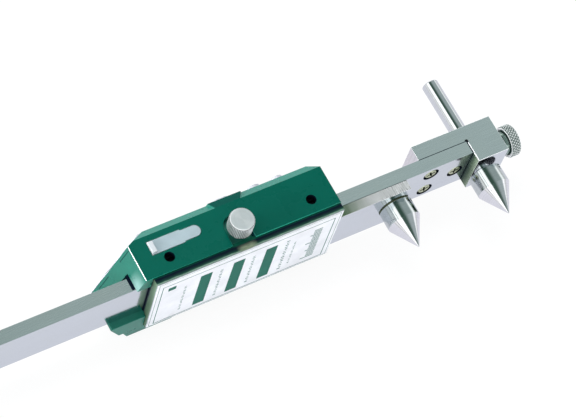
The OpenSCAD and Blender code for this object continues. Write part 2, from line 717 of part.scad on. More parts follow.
// Clear window over the display
module display_window() color([0.80, 0.86, 0.88, 0.5]) placed()
    bar([window_jaw + slide_fit, window_tail - slide_fit], [front_y, front_y + window_t],
        [window_bottom + slide_fit, window_top - slide_fit]);

// Display glass behind the window
module display_glass() color([0.62, 0.68, 0.62]) placed()
    bar([window_jaw + frame_grow, window_tail - frame_grow], [lcd_front, lcd_back],
        [window_bottom + frame_grow, window_top - frame_grow]);

// Frame that holds the glass over the circuit board
module display_frame() color([0.08, 0.08, 0.09]) placed() difference() {
    bar([window_jaw - frame_grow, window_tail + frame_grow], [lcd_front, board_front],
        [window_bottom - frame_grow, window_top + frame_grow]);
    bar([window_jaw + frame_grow, window_tail - frame_grow], [lcd_front - overrun, board_front + overrun],
        [window_bottom + frame_grow, window_top - frame_grow]);
}

// Two rubber strips that join the glass to the circuit board
module rubber_connectors() color([0.75, 0.72, 0.70]) placed()
    for (z = [window_bottom + frame_grow, window_top - frame_grow - zebra_w])
        bar([window_jaw + frame_grow, window_tail - frame_grow], [lcd_back, board_front],
            [z, z + zebra_w]);

// Circuit board that reads the scale strip
module circuit_board() color([0.05, 0.30, 0.16]) placed()
    bar([cavity_jaw + trim_fit, cavity_tail - trim_fit], [board_front, board_y],
        [-cavity_low + trim_fit, board_top]);

// Two chips on the circuit board
module circuit_chips() color([0.06, 0.06, 0.07]) placed() {
    middle = (window_top + window_bottom) / 2;
    bar([window_jaw + chip_size, window_jaw + 2 * chip_size],
        [board_front - chip_t, board_front], [middle - chip_size / 2, middle + chip_size / 2]);
    bar([window_tail - 2 * chip_size, window_tail - chip_size],
        [board_front - chip_t, board_front], [middle - chip_size / 4, middle + chip_size / 4]);
}

// Three switches on the circuit board, one below each button
module button_switches() color([0.75, 0.76, 0.78]) placed()
    for (x = button_x) translate([x, 0, button_z]) rod_y([switch_y, board_front], switch_d / 2);

// Plan of the long button
module long_shape(grow) {
    middle = long_button_len / 2 - button_r;
    for (side = [-1, 1]) translate([side * middle, 0]) circle(r = button_r + grow);
    translate([-middle, -button_r - grow]) square([2 * middle, button_d + 2 * grow]);
}

// Round button with its flange and stem
module round_button(x) color([0.84, 0.84, 0.88]) placed() translate([x, 0, button_z]) {
    rod_y([front_y - button_out, flange_y], button_r);
    rod_y([flange_y, flange_y + flange_t], button_r + flange_out);
    rod_y([flange_y + flange_t, stem_tip], stem_d / 2);
}
module first_button() round_button(button_x[0]);
module second_button() round_button(button_x[1]);

// Long button with its flange and stem
module long_button() color([0.84, 0.84, 0.88]) placed() {
    translate([button_x[2], 0, button_z]) {
        slab([front_y - button_out, flange_y]) long_shape(0);
        slab([flange_y, flange_y + flange_t]) long_shape(flange_out);
        rod_y([flange_y + flange_t, stem_tip], stem_d / 2);
    }
}

// Coin cell in its pocket
module coin_cell() color([0.80, 0.81, 0.82]) placed() translate([cell_x, 0, -cell_z])
    rod_y([cell_floor - contact_t - cell_t, cell_floor - contact_t], cell_d / 2);

// Two contact plates below the coin cell
module battery_contacts() color([0.80, 0.68, 0.40]) placed()
    for (side = [-1, 1]) translate([cell_x + side * cell_d / 4, 0, -cell_z])
        rod_y([cell_floor - contact_t, cell_floor], cell_d / 8);

// Pale lid over the coin cell, which slides off past the tail end
module battery_lid() color([0.86, 0.88, 0.92]) placed() difference() {
    union() {
        slab([front_y - lid_out, front_y - lid_out + lid_t]) lid_shape();
        slab([front_y - lid_out, -tail_depth]) lip_shape(0);
    }
    tail_cut([tail_top + (top_z - lid_slope_z) * tan(tail_lean), -tail_depth, lid_slope_z],
        lid_lean, lid_tilt);
}

// Bronze strip between the beam's edge and the housing
module gib_strip() color([0.72, 0.55, 0.32]) placed()
    bar([cavity_jaw + trim_fit, cavity_tail - trim_fit], [gib_front, gib_front + gib_w],
        [half_w + slide_fit, gib_top]);

// Two set screws that adjust the gib
module gib_screws() color([0.30, 0.31, 0.32]) placed()
    for (x = set_x) translate([x, -set_depth, 0]) difference() {
        rod_z([gib_top + slide_fit, gib_top + slide_fit + set_len], set_d / 2);
        bar([-set_d, set_d], [-cross_w / 2, cross_w / 2],
            [gib_top + slide_fit + set_len - cross_w, gib_top + slide_fit + set_len + overrun]);
    }

// Knurled thumb screw that locks the slider through the gib
module lock_screw() color([0.78, 0.79, 0.81]) placed() translate([lock_x, -lock_depth, 0])
    rotate_extrude() polygon([
        [0, gib_top + slide_fit], [lock_thread_d / 2, gib_top + slide_fit],
        [lock_thread_d / 2, lock_under], [lock_knob_d / 2 - lock_chamfer, lock_under],
        [lock_knob_d / 2, lock_under + lock_chamfer],
        [lock_knob_d / 2, lock_under + lock_knob_h - lock_chamfer],
        [lock_knob_d / 2 - lock_chamfer, lock_under + lock_knob_h],
        [0, lock_under + lock_knob_h]]);

// Socket of the data port, in the housing's top wall
module port_socket() color([0.07, 0.07, 0.08]) placed()
    bar(socket_x, [-port_depth - socket_w / 2, -port_depth + socket_w / 2], [cavity_z, socket_top]);

// Contact pads on the socket
module port_contacts() color([0.85, 0.70, 0.35]) placed()
    for (i = [1:pad_count])
        translate([socket_x[0] + i * (socket_x[1] - socket_x[0]) / (pad_count + 1), -port_depth, 0])
            rod_z([socket_top, port_floor], pad_d / 2);

// Grey cover of the data port, lifted by its tab
module port_cover() color([0.68, 0.73, 0.75]) placed() translate([0, -port_depth, 0]) {
    translate([0, 0, top_z - port_t]) linear_extrude(port_t) port_shape(0);
    bar([port_tail - tab_len, port_tail], [-port_narrow_w / 2, port_narrow_w / 2],
        [top_z, top_z + tab_h]);
}

main_beam();
scale_strip();
end_stop();
end_stop_screws();
jaw_block();
jaw_screws();
fixed_point();
clamp_screw();
slider_plate();
slider_point();
rear_label();
plate_screws();
housing();
front_cover();
cover_screws();
display_window();
display_glass();
display_frame();
rubber_connectors();
circuit_board();
circuit_chips();
button_switches();
first_button();
second_button();
long_button();
coin_cell();
battery_contacts();
battery_lid();
gib_strip();
gib_screws();
lock_screw();
port_socket();
port_contacts();
port_cover();
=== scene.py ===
import collections
from math import cos, hypot, pi, radians, sin, tan, tau

import bmesh
import bpy
from mathutils import Matrix, Vector


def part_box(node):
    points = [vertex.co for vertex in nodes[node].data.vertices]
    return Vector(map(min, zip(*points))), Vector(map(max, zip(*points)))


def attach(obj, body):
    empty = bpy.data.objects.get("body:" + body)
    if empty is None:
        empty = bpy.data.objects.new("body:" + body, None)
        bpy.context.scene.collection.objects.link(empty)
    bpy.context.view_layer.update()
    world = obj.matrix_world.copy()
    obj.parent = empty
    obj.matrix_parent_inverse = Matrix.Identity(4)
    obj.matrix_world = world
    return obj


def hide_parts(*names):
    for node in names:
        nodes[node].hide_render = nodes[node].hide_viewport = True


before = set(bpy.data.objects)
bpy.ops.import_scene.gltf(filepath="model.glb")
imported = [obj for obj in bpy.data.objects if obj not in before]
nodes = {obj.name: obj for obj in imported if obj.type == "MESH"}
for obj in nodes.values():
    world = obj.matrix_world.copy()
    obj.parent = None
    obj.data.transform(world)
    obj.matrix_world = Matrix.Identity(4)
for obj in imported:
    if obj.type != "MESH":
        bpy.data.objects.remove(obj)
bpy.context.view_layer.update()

shoulder = 9.65  # mm from the beam's back face to the fixed point's shoulder, where the frame's origin lies
beamPlace = collections.namedtuple("beamPlace", "x y z")
print("frame loaded:", len(nodes), "nodes")


def mm(x, y, z):  # places as they are measured on the beam, in mm
    return Vector((x, y - shoulder, z)) / 1000


def onBeam(point):  # the other way round: a point of the frame, in mm on the beam
    return beamPlace(point.x * 1000, point.y * 1000 + shoulder, point.z * 1000)


# Nodes that several trees need

def emptyTree(owner):
    owner.use_nodes = True
    owner.node_tree.nodes.clear()
    return owner.node_tree


def isSocket(value):
    return isinstance(value, bpy.types.NodeSocket)


def treeOf(*values):  # the tree that the sockets among some values belong to
    return next(value.id_data for value in values if isSocket(value))


def wired(tree, kind, inputs=None, **settings):  # one node with its settings and its inputs, values or sockets
    made = tree.nodes.new(kind)
    for key, value in settings.items():
        setattr(made, key, value)
    for key, value in (inputs or {}).items():
        if isSocket(value):
            tree.links.new(value, made.inputs[key])
        else:
            made.inputs[key].default_value = value
    return made


def maths(operation, *values):
    return wired(treeOf(*values), "ShaderNodeMath", dict(enumerate(values)), operation=operation).outputs[0]


def product(first, second):
    return maths("MULTIPLY", first, second)


def vector(x=0.0, y=0.0, z=0.0):
    return wired(treeOf(x, y, z), "ShaderNodeCombineXYZ", {0: x, 1: y, 2: z}).outputs[0]


def ranged(value, low, high, start=0.3, end=0.7, kind="LINEAR"):
    span = {"Value": value, "From Min": start, "From Max": end, "To Min": low, "To Max": high}
    return wired(value.id_data, "ShaderNodeMapRange", span, interpolation_type=kind).outputs[0]


def eased(value, edge, low=0.0, high=1.0):
    return ranged(value, low, high, *edge, kind="SMOOTHSTEP")


def blended(amount, first, second, kind="MIX"):
    tones = {key: value if isSocket(value) else (*value, 1) for key, value in ((6, first), (7, second))}
    tree = treeOf(amount, first, second)
    return wired(tree, "ShaderNodeMix", {0: amount, **tones}, data_type="RGBA", blend_type=kind).outputs[2]


def mixedShader(share, first, second):
    return wired(first.id_data, "ShaderNodeMixShader", {0: share, 1: first, 2: second}).outputs[0]


def linked(name, data):
    piece = bpy.data.objects.new(name, data)
    bpy.context.scene.collection.objects.link(piece)
    return piece


def pieceFrom(name, work):
    mesh = bpy.data.meshes.new(name)
    work.to_mesh(mesh)
    work.free()
    return linked(name, mesh)


# Stage: camera, floor, lamps and a tent of white cloth with a dark opening, which reflections show

stageLook = {
    "cameraPlace": (0.308577, 0.215807, 0.599019),
    "cameraRight": (-0.86380525, 0.47169429, 0.17704516),
    "cameraDown": (0.34946753, 0.81407408, -0.46384894),
    "cameraForward": (-0.36292277, -0.33880362, -0.8680433),
    "lens": 154.597,
    "floorMiddle": (0.15, 0, -0.0176),
    "shadowShare": 0.1,
    "floorTone": (0.93, 0.935, 0.95),
    "mirroredFloor": (0.8, 0.79, 0.86),
    "lampAim": (0.06, 0, 0),
    "lamps": {  # place, size, power and tone
        "keyLamp": ((1.0, -0.1, 0.22), (0.55, 0.3), 11.0, (1.0, 0.99, 0.98)),
        "frontLamp": ((0.1, -0.35, 0.95), (0.7, 0.35), 6.2, (0.97, 0.98, 1.0)),
        "backLamp": ((0.1, 1.0, 0.22), (0.7, 0.3), 2.2, (0.95, 0.97, 1.0)),
    },
    "whiteTent": (1.0, 1.0, 1.0),
    "darkTent": (0.385, 0.45, 0.45),
    "darkFold": (0.055, 0.105, 0.082),
    "brightStrip": (1.7, 1.7, 1.7),
    "tentLean": (0.875, 0.0, -0.485),
    "tentEdge": (-0.11, 0.02),
    "foldEdge": (-0.73, -0.36),
    "sideTent": 0.95,
    "sideEdge": (0.7, 0.86),
    "backTent": 0.8,
    "backEdge": (-0.74, -0.9),
    "stripEdge": (0.5, 0.4),
    "stripBottom": (0.22, 0.3),
    "horizonLine": 0.7,
    "horizonEdge": (0.075, 0.115),
    "tentSeams": (0.3, 0.52),
    "seamTone": 0.35,
    "seamEdge": (0.018, 0.034),
}


def floorPaper():  # a diffuse sheet for the light, and a nearly white one for the eye
    material = bpy.data.materials.new("floorPaper")
    tree = emptyTree(material)
    rays = wired(tree, "ShaderNodeLightPath").outputs
    shown = maths("MAXIMUM", rays["Is Camera Ray"], rays["Is Glossy Ray"])
    shown = maths("MAXIMUM", shown, rays["Is Transmission Ray"])
    paper = wired(tree, "ShaderNodeBsdfDiffuse", {"Color": (*stageLook["floorTone"], 1)}).outputs[0]
    white, dim = (wired(tree, "ShaderNodeEmission", {"Color": (*tone, 1), "Strength": 1.0}).outputs[0]
        for tone in ((1, 1, 1), stageLook["mirroredFloor"]))
    glow = mixedShader(rays["Is Glossy Ray"], white, dim)
    seen = mixedShader(stageLook["shadowShare"], glow, paper)
    wired(tree, "ShaderNodeOutputMaterial", {"Surface": mixedShader(shown, paper, seen)})
    return material


def buildStage():
    scene = bpy.context.scene
    scene.view_settings.view_transform = "Standard"
    lens = bpy.data.cameras.new("photoCamera")
    lens.lens = stageLook["lens"]
    lens.sensor_width = 36
    lens.clip_start = 0.01
    camera = linked("photoCamera", lens)
    right, down, forward = (Vector(stageLook["camera" + way]).normalized() for way in ("Right", "Down", "Forward"))
    turn = Matrix((right, -down, -forward)).transposed().to_4x4()
    camera.matrix_world = Matrix.Translation(stageLook["cameraPlace"]) @ turn
    scene.camera = camera

    work = bmesh.new()
    bmesh.ops.create_circle(work, cap_ends=True, segments=64, radius=4)
    bmesh.ops.translate(work, verts=work.verts, vec=stageLook["floorMiddle"])
    floor = pieceFrom("floor", work)
    floor.data.materials.append(floorPaper())

    for name, (place, size, power, tone) in stageLook["lamps"].items():
        lamp = bpy.data.lights.new(name, "AREA")
        lamp.shape = "RECTANGLE"
        lamp.size, lamp.size_y = size
        lamp.energy = power
        lamp.color = tone
        holder = linked(name, lamp)
        holder.location = place
        holder.visible_glossy = False
        holder.rotation_euler = (Vector(stageLook["lampAim"]) - Vector(place)).to_track_quat("-Z", "Y").to_euler()


def buildDaylight():
    world = bpy.data.worlds.new("daylight")
    bpy.context.scene.world = world
    tree, look = emptyTree(world), stageLook
    way = wired(tree, "ShaderNodeTexCoord").outputs["Generated"]
    split = wired(tree, "ShaderNodeSeparateXYZ", {0: way}).outputs
    lean = wired(tree, "ShaderNodeVectorMath", {0: way, 1: look["tentLean"]}, operation="DOT_PRODUCT").outputs["Value"]
    sides = eased(maths("ABSOLUTE", split["Y"]), look["sideEdge"], high=look["sideTent"])
    behind = eased(split["X"], look["backEdge"], high=look["backTent"])
    share = maths("MAXIMUM", eased(lean, look["tentEdge"]), sides)
    share = maths("MAXIMUM", share, behind)
    above = eased(split["Z"], look["stripBottom"])
    strip = product(eased(lean, look["stripEdge"]), above)
    bright = blended(strip, look["whiteTent"], look["brightStrip"])
    roof = blended(eased(lean, look["foldEdge"]), look["darkTent"], look["darkFold"])
    cloth = blended(share, roof, bright)
    power = eased(split["Z"], look["horizonEdge"], low=look["horizonLine"])
    below = maths("SUBTRACT", 1.0, above)
    for middle in look["tentSeams"]:  # dark seams of the tent, which the turned points show as thin lines
        away = maths("ABSOLUTE", maths("SUBTRACT", lean, middle))
        seam = eased(away, look["seamEdge"], low=look["seamTone"])
        power = product(power, maths("MAXIMUM", seam, below))
    soft = wired(tree, "ShaderNodeBackground", {"Color": cloth, "Strength": power}).outputs[0]
    white = wired(tree, "ShaderNodeBackground", {"Color": (1, 1, 1, 1), "Strength": 1.0}).outputs[0]
    rays = wired(tree, "ShaderNodeLightPath").outputs
    whole = mixedShader(rays["Is Camera Ray"], soft, white)
    wired(tree, "ShaderNodeOutputWorld", {"Surface": whole})


buildStage()
buildDaylight()
print("stage set")


# Finishes

def surface(name, values):  # a material's tree, and its principled shader with the constant values set
    tree = emptyTree(bpy.data.materials.new(name))
    shader = wired(tree, "ShaderNodeBsdfPrincipled", values)
    wired(tree, "ShaderNodeOutputMaterial", {"Surface": shader.outputs[0]})
    return tree, shader


def coated(name, tree, shader, base, roughness, height=None, depth=0.0):  # what varies; depth of relief in mm
    tree.links.new(base, shader.inputs["Base Color"])
    tree.links.new(roughness, shader.inputs["Roughness"])
    if height:
        bump = wired(tree, "ShaderNodeBump", {"Height": height, "Distance": depth / 1000, "Strength": 1.0})
        tree.links.new(bump.outputs[0], shader.inputs["Normal"])
    return bpy.data.materials[name]


def scaled(tone, share, more=0.0):
    return tuple(min(1, channel * share + more) for channel in tone)


def objectPlace(tree):
    return wired(tree, "ShaderNodeTexCoord").outputs["Object"]


def splitPlace(tree):
    return wired(tree, "ShaderNodeSeparateXYZ", {0: objectPlace(tree)}).outputs


def pattern(tree, cells, detail=3.0, roughness=0.55):  # noise; cells is its size in mm along each axis
    scale = [1000 / cell for cell in (cells if isinstance(cells, (tuple, list)) else [cells] * 3)]
    mapped = wired(tree, "ShaderNodeMapping", {"Vector": objectPlace(tree), "Scale": scale}).outputs[0]
    noise = {"Vector": mapped, "Scale": 1.0, "Detail": detail, "Roughness": roughness}
    return wired(tree, "ShaderNodeTexNoise", noise).outputs["Fac"]


def groundSteel(name, along, tone=(0.79, 0.87, 0.87), rough=(0.2, 0.3), line=0.2, depth=0.0022, contrast=0.1):
    tree, shader = surface(name, {"Metallic": 1})
    cells = [line] * 3
    cells["xyz".index(along)] = line * 60
    lines = pattern(tree, cells, detail=4, roughness=0.65)
    fine = pattern(tree, [cell * 0.28 for cell in cells], detail=2)
    stain = pattern(tree, 9)
    warm = tuple(channel * share for channel, share in zip(tone, (0.99, 0.985, 0.93)))
    dark, light = scaled(tone, 1 - contrast), scaled(tone, 1 + contrast * 0.5)
    base = blended(ranged(lines, 0, 1, 0.32, 0.68), dark, light)
    base = blended(ranged(stain, 0, 0.35, 0.45, 0.75), base, warm)
    return coated(name, tree, shader, base, ranged(fine, *rough, 0.25, 0.75), maths("ADD", lines, fine), depth)


def turnedSteel(name, middle, axis, tone=(0.72, 0.75, 0.77), rough=(0.07, 0.12), pitch=0.11, depth=0.0003,
        grooves=None, fanHighlight=0.0, metal=1.0):
    # rings round an axis; grooves: radii in mm of a knurl's grooves and crests, and the painted shade in the grooves
    tree, shader = surface(name, {"Metallic": metal})
    away = {"Vector": objectPlace(tree), "Location": tuple(-c for c in middle)}
    split = wired(tree, "ShaderNodeSeparateXYZ", {0: wired(tree, "ShaderNodeMapping", away).outputs[0]}).outputs
    others = [split[letter] for letter in "XYZ" if letter.lower() != axis]
    radius = wired(tree, "ShaderNodeVectorMath", {0: vector(*others)}, operation="LENGTH").outputs["Value"]
    noise = {"Vector": vector(radius, split[axis.upper()]), "Scale": 1000 / pitch, "Detail": 3, "Roughness": 0.6}
    rings = wired(tree, "ShaderNodeTexNoise", noise).outputs["Fac"]
    stain = pattern(tree, 3.5, detail=4)
    base = blended(ranged(rings, 0, 1), scaled(tone, 0.88), scaled(tone, 1.06))
    if fanHighlight:  # a faint fan-shaped painted highlight on a turned disc
        angle = maths("ARCTAN2", *others)
        wave = maths("COSINE", maths("MULTIPLY_ADD", angle, 2.0, 0.9))
        base = blended(ranged(wave, 0, fanHighlight, 0.3, 1.0), base, (1, 1, 1))
    # the knurl's grooves take a dark tone: painted shade
    if grooves:
        low, high, shade = grooves
        crest = ranged(radius, 0, 1, low / 1000, high / 1000)
        rim = maths("LESS_THAN", radius, (low - 0.02) / 1000)  # the chamfer has no grooves
        base = blended(maths("MAXIMUM", crest, rim), shade, base)
    return coated(name, tree, shader, base, ranged(stain, *rough), rings, depth)


def paint(name, tone, light, rough=(0.24, 0.34), specular=0.3, peel=0.22, depth=0.002, sheenPatch=None):
    # sheenPatch: a painted reflection: y where it begins and is full, z where it is full and gone, in mm, and its tone
    tree, shader = surface(name, {"Specular IOR Level": specular})
    orange = pattern(tree, peel, detail=2)
    cloud = pattern(tree, 6, detail=4, roughness=0.6)
    specks = pattern(tree, 0.12, detail=2)
    base = blended(ranged(cloud, 0, 1, 0.3, 0.75), tone, light)
    base = blended(ranged(specks, 0, 0.25, 0.66, 0.8), base, scaled(light, 1.5, 0.02))
    # a paler patch painted in as a reflection
    if sheenPatch:
        (y0, y1), (z0, z1), sheenTone = sheenPatch
        split = splitPlace(tree)
        rise = ranged(split["Y"], 0, 1, (y0 - shoulder) / 1000, (y1 - shoulder) / 1000)
        fall = ranged(split["Z"], 1, 0, z0 / 1000, z1 / 1000)
        above = maths("GREATER_THAN", split["Z"], 0.0)
        base = blended(product(product(rise, fall), above), base, sheenTone)
    return coated(name, tree, shader, base, ranged(cloud, *rough), orange, depth)


def moulding(name, tone, rough=(0.42, 0.55), grain=0.14, depth=0.006, specular=0.4):
    tree, shader = surface(name, {"Specular IOR Level": specular})
    spark = pattern(tree, grain)
    cloud = pattern(tree, 5)
    base = blended(ranged(cloud, 0, 1), scaled(tone, 0.9), scaled(tone, 1.05))
    return coated(name, tree, shader, base, ranged(spark, *rough), spark, depth)


def edgeSteel(name, stops, rough=(0.4, 0.6), drift=0.1, litStretch=None):
    # painted shade and reflection on a steel edge, in bands of tone by its y in mm; litStretch: a stretch of x, its
    # soft ends and its tone, painted light
    tree, shader = surface(name, {"Metallic": 0.35, "Specular IOR Level": 0.2})
    split = splitPlace(tree)
    fine = pattern(tree, (1.6, 0.22, 0.22), detail=4, roughness=0.7)
    wander = ranged(pattern(tree, 5, detail=2), -drift / 1000, drift / 1000)
    shifted = maths("ADD", split["Y"], wander)
    first, last = stops[0][0], stops[-1][0]
    share = ranged(shifted, 0, 1, (first - shoulder) / 1000, (last - shoulder) / 1000)
    ramp = wired(tree, "ShaderNodeValToRGB", {0: share})
    for element, stop in zip(ramp.color_ramp.elements, (stops[0], stops[-1])):
        element.color = (*stop[1], 1)
    for at, tone in stops[1:-1]:
        ramp.color_ramp.elements.new((at - first) / (last - first)).color = (*tone, 1)
    shown = ramp.outputs[0]
    if litStretch:
        (low, high), soft, tone = litStretch
        rise = ranged(split["X"], 0, 1, low / 1000, (low + soft) / 1000)
        fall = ranged(split["X"], 1, 0, (high - soft) / 1000, high / 1000)
        deep = ranged(split["Y"], 0, 1, (1.0 - shoulder) / 1000, (2.0 - shoulder) / 1000)
        shown = blended(product(product(rise, fall), deep), shown, tone)
    grey = vector(*(ranged(fine, *span) for span in ((0.55, 1.3), (0.6, 1.3), (0.6, 1.25))))
    return coated(name, tree, shader, blended(1.0, shown, grey, "MULTIPLY"), ranged(fine, *rough), fine, 0.004)


def hatchedSteel(name, pitch=0.6):  # milled edge with ridges across it; their bright crests and the olive towards the housing are painted reflection
    tree, shader = surface(name, {"Metallic": 0.75})
    bend = ranged(pattern(tree, (1.1, 4, 4)), -0.00016, 0.00016)
    shifted = maths("ADD", splitPlace(tree)["X"], bend)
    wave = maths("SINE", product(shifted, tau * 1000 / pitch))
    fine = ranged(pattern(tree, (0.12, 3, 3)), -0.9, 0.9)
    hatch = maths("ADD", wave, fine)
    base = blended(ranged(hatch, 0, 1, -1.1, 0.7), (0.36, 0.37, 0.37), (0.98, 0.97, 0.98))
    # painted olive reflection of the green housing near its end
    base = blended(ranged(shifted, 0, 1, 0.0385, 0.0475), base, (0.13, 0.21, 0.12))
    return coated(name, tree, shader, base, ranged(hatch, 0.62, 0.48, -1.2, 1.2), hatch, 0.006)


def windowGlass(name):
    tree, shader = surface(name, {"Alpha": 0.1, "IOR": 1.49})
    smear = pattern(tree, (7, 4, 4), detail=4)
    tint = blended(ranged(smear, 0, 1), (0.93, 0.96, 0.97), (0.98, 0.99, 1.0))
    return coated(name, tree, shader, tint, ranged(smear, 0.02, 0.09, 0.4, 0.75))


steelAlongX = groundSteel("groundSteelLengthways", "x")
steelAlongZ = groundSteel("groundSteelUpright", "z", (0.86, 0.84, 0.87), (0.4, 0.5), line=0.4, contrast=0.14)
broadSteel = groundSteel("lappedSteelBroad", "x", (0.67, 0.72, 0.76), (0.09, 0.14), 0.3, 0.0006, 0.04)
screwSteel = groundSteel("screwSteel", "x", (0.52, 0.57, 0.38), (0.22, 0.34))
darkSteel = groundSteel("darkSteel", "z", (0.02, 0.022, 0.032), (0.45, 0.6))
ringBronze = groundSteel("ringBronze", "x", (0.13, 0.15, 0.08), (0.45, 0.6))
bronze = groundSteel("gibBronze", "x", (0.62, 0.44, 0.22), (0.3, 0.42))
# painted green reflection on the clamp screw's boss
bossGreenSheen = groundSteel("bossGreenSheen", "x", (0.3, 0.4, 0.36), (0.16, 0.24))
armHatch = hatchedSteel("armTopSteel")
# painted shade of the housing's lip on the plate's top edge and a painted olive reflection beyond it, with painted
# light where the notch opens the lip
plateEdgeShade = edgeSteel("plateEdgeShadeBands", [
    (0.8, (0.002, 0.09, 0.056)), (1.0, (0.002, 0.062, 0.044)), (1.22, (0.001, 0.012, 0.024)),
    (1.5, (0.001, 0.004, 0.018)), (1.9, (0.004, 0.02, 0.022)), (2.25, (0.012, 0.045, 0.036)),
    (2.5, (0.035, 0.11, 0.075)), (2.74, (0.27, 0.37, 0.31)), (2.9, (0.12, 0.19, 0.16))],
    litStretch=((75.9, 82.3), 1.8, (0.25, 0.3, 0.21)))
# painted shade where the plate's end meets the beam, then a painted olive reflection on the end face
plateEndShade = edgeSteel("plateEndShadeBands", [
    (0.0, (0.004, 0.01, 0.02)), (0.5, (0.005, 0.012, 0.03)), (0.9, (0.09, 0.15, 0.1)),
    (2.2, (0.13, 0.21, 0.14)), (2.8, (0.2, 0.27, 0.21))])
# painted reflection on the jaw's step face, dark green to pale olive
jawStepShade = edgeSteel("jawStepShadeBands", [
    (0.0, (0.01, 0.028, 0.024)), (0.45, (0.035, 0.065, 0.05)), (1.3, (0.1, 0.15, 0.1)),
    (2.1, (0.2, 0.26, 0.19)), (2.9, (0.31, 0.38, 0.3))], drift=0.25)
cellSteel = turnedSteel("cellSteel", mm(102.8, 0, -2.6), "y", tone=(0.8, 0.8, 0.79))
# One green paint in copies by which way a face turns: the top painted darker as painted shade, the tail end, chamfers
# and sides lighter as painted light
topShadedPaint = paint("housingTopShadedPaint", (0.0, 0.073, 0.051), (0.0, 0.081, 0.057), specular=0.11)
tailLitPaint = paint("housingTailLitPaint", (0.008, 0.112, 0.082), (0.012, 0.126, 0.092), specular=0.28,
    sheenPatch=((-4.2, -1.0), (9.6, 12.8), (0.17, 0.31, 0.29)))
chamferLitPaint = paint("housingChamferLitPaint", (0.014, 0.176, 0.132), (0.019, 0.193, 0.146), specular=0.26)
sideLitPaint = paint("housingSideLitPaint", (0.011, 0.136, 0.1), (0.015, 0.152, 0.112), specular=0.28)
# darker copies of the green: painted shade on the cover's land and inside the lock screw's notch
landShadedPaint = paint("housingLandShadedPaint", (0.003, 0.06, 0.047), (0.003, 0.068, 0.053), (0.6, 0.7), 0.04)
notchShadedPaint = paint("housingNotchShadedPaint", (0.001, 0.02, 0.026), (0.001, 0.026, 0.03), (0.5, 0.6), 0.05)
# lighter copy of the green: painted highlight on the rounded top-back edge and the lip's back face
edgeLitPaint = paint("housingEdgeLitPaint", (0.008, 0.215, 0.15), (0.012, 0.235, 0.165), specular=0.2)
slotShade = moulding("slotShade", (0.02, 0.03, 0.016), (0.6, 0.7), specular=0.1)
# a near-white finish for painted highlights along rounded edges
edgeHighlight = moulding("edgeHighlight", (0.9, 0.9, 0.92), (0.3, 0.4), 0.3, 0.001)
palePlastic = moulding("palePlastic", (0.56, 0.56, 0.62))
tabPlastic = moulding("tabPlastic", (0.5, 0.53, 0.56))
greyPlastic = moulding("greyPlastic", (0.3, 0.375, 0.41))
blackPlastic = moulding("blackPlastic", (0.02, 0.021, 0.024))
greyRubber = moulding("greyRubber", (0.25, 0.24, 0.235), (0.7, 0.85))
boardGreen = moulding("boardGreen", (0.02, 0.16, 0.06), (0.3, 0.4), specular=0.5)
labelFilm = moulding("labelFilm", (0.745, 0.75, 0.79), (0.38, 0.5), 0.3, 0.001, 0.3)
labelInk = moulding("labelInk", (0.012, 0.125, 0.088), (0.5, 0.6), 0.2, 0.001, 0.12)
scaleFilm = moulding("scaleFilm", (0.03, 0.032, 0.036), (0.25, 0.35), 0.3, 0.001)
scaleInk = moulding("scaleInk", (0.8, 0.81, 0.82), (0.4, 0.5), 0.2, 0.001)
bossShade = moulding("bossShade", (0.01, 0.045, 0.035), (0.4, 0.5), specular=0.2)
displayGrey = moulding("displayGrey", (0.36, 0.42, 0.35), (0.12, 0.2), 0.4, 0.0005, 0.5)
displayInk = moulding("displayInk", (0.012, 0.015, 0.014), (0.2, 0.3), 0.3, 0.0005)
gapShade = moulding("gapShade", (0.002, 0.006, 0.014), (0.8, 0.9), specular=0.05)
clearWindow = windowGlass("windowPlastic")
print("finishes mixed")


# Making pieces

def plainMesh(piece):  # what the modifiers make of a piece, as a mesh of its own
    bpy.context.view_layer.update()
    graph = bpy.context.evaluated_depsgraph_get()
    mesh = bpy.data.meshes.new_from_object(piece.evaluated_get(graph), preserve_all_data_layers=True, depsgraph=graph)
    piece.modifiers.clear()
    old = piece.data
    piece.data = mesh
    bpy.data.meshes.remove(old)
    mesh.name = piece.name
    return piece


def finished(piece, body, slot, materials, *replaced):
    kept = [face.material_index for face in piece.data.polygons]
    piece.data.materials.clear()
    for material in materials:
        piece.data.materials.append(material)
    if len(materials) > 1:
        piece.data.polygons.foreach_set("material_index", kept)
    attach(piece, body)
    if replaced:
        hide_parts(*replaced)


def recoated(node, material):
    nodes[node].data.materials.clear()
    nodes[node].data.materials.append(material)


def copyOf(node, ledge=None):
    # the CAD solid with its loose triangles merged to whole faces, but for a ring-shaped face at y = ledge (mm)
    work = bmesh.new()
    work.from_mesh(nodes[node].data)
    bmesh.ops.remove_doubles(work, verts=work.verts, dist=1.5e-6)
    edges = [edge for edge in work.edges
        if ledge is None or not all(abs(onBeam(vert.co).y - ledge) < 0.01 for vert in edge.verts)]
    bmesh.ops.dissolve_limit(work, angle_limit=radians(0.4), verts=work.verts, edges=edges)
    return work


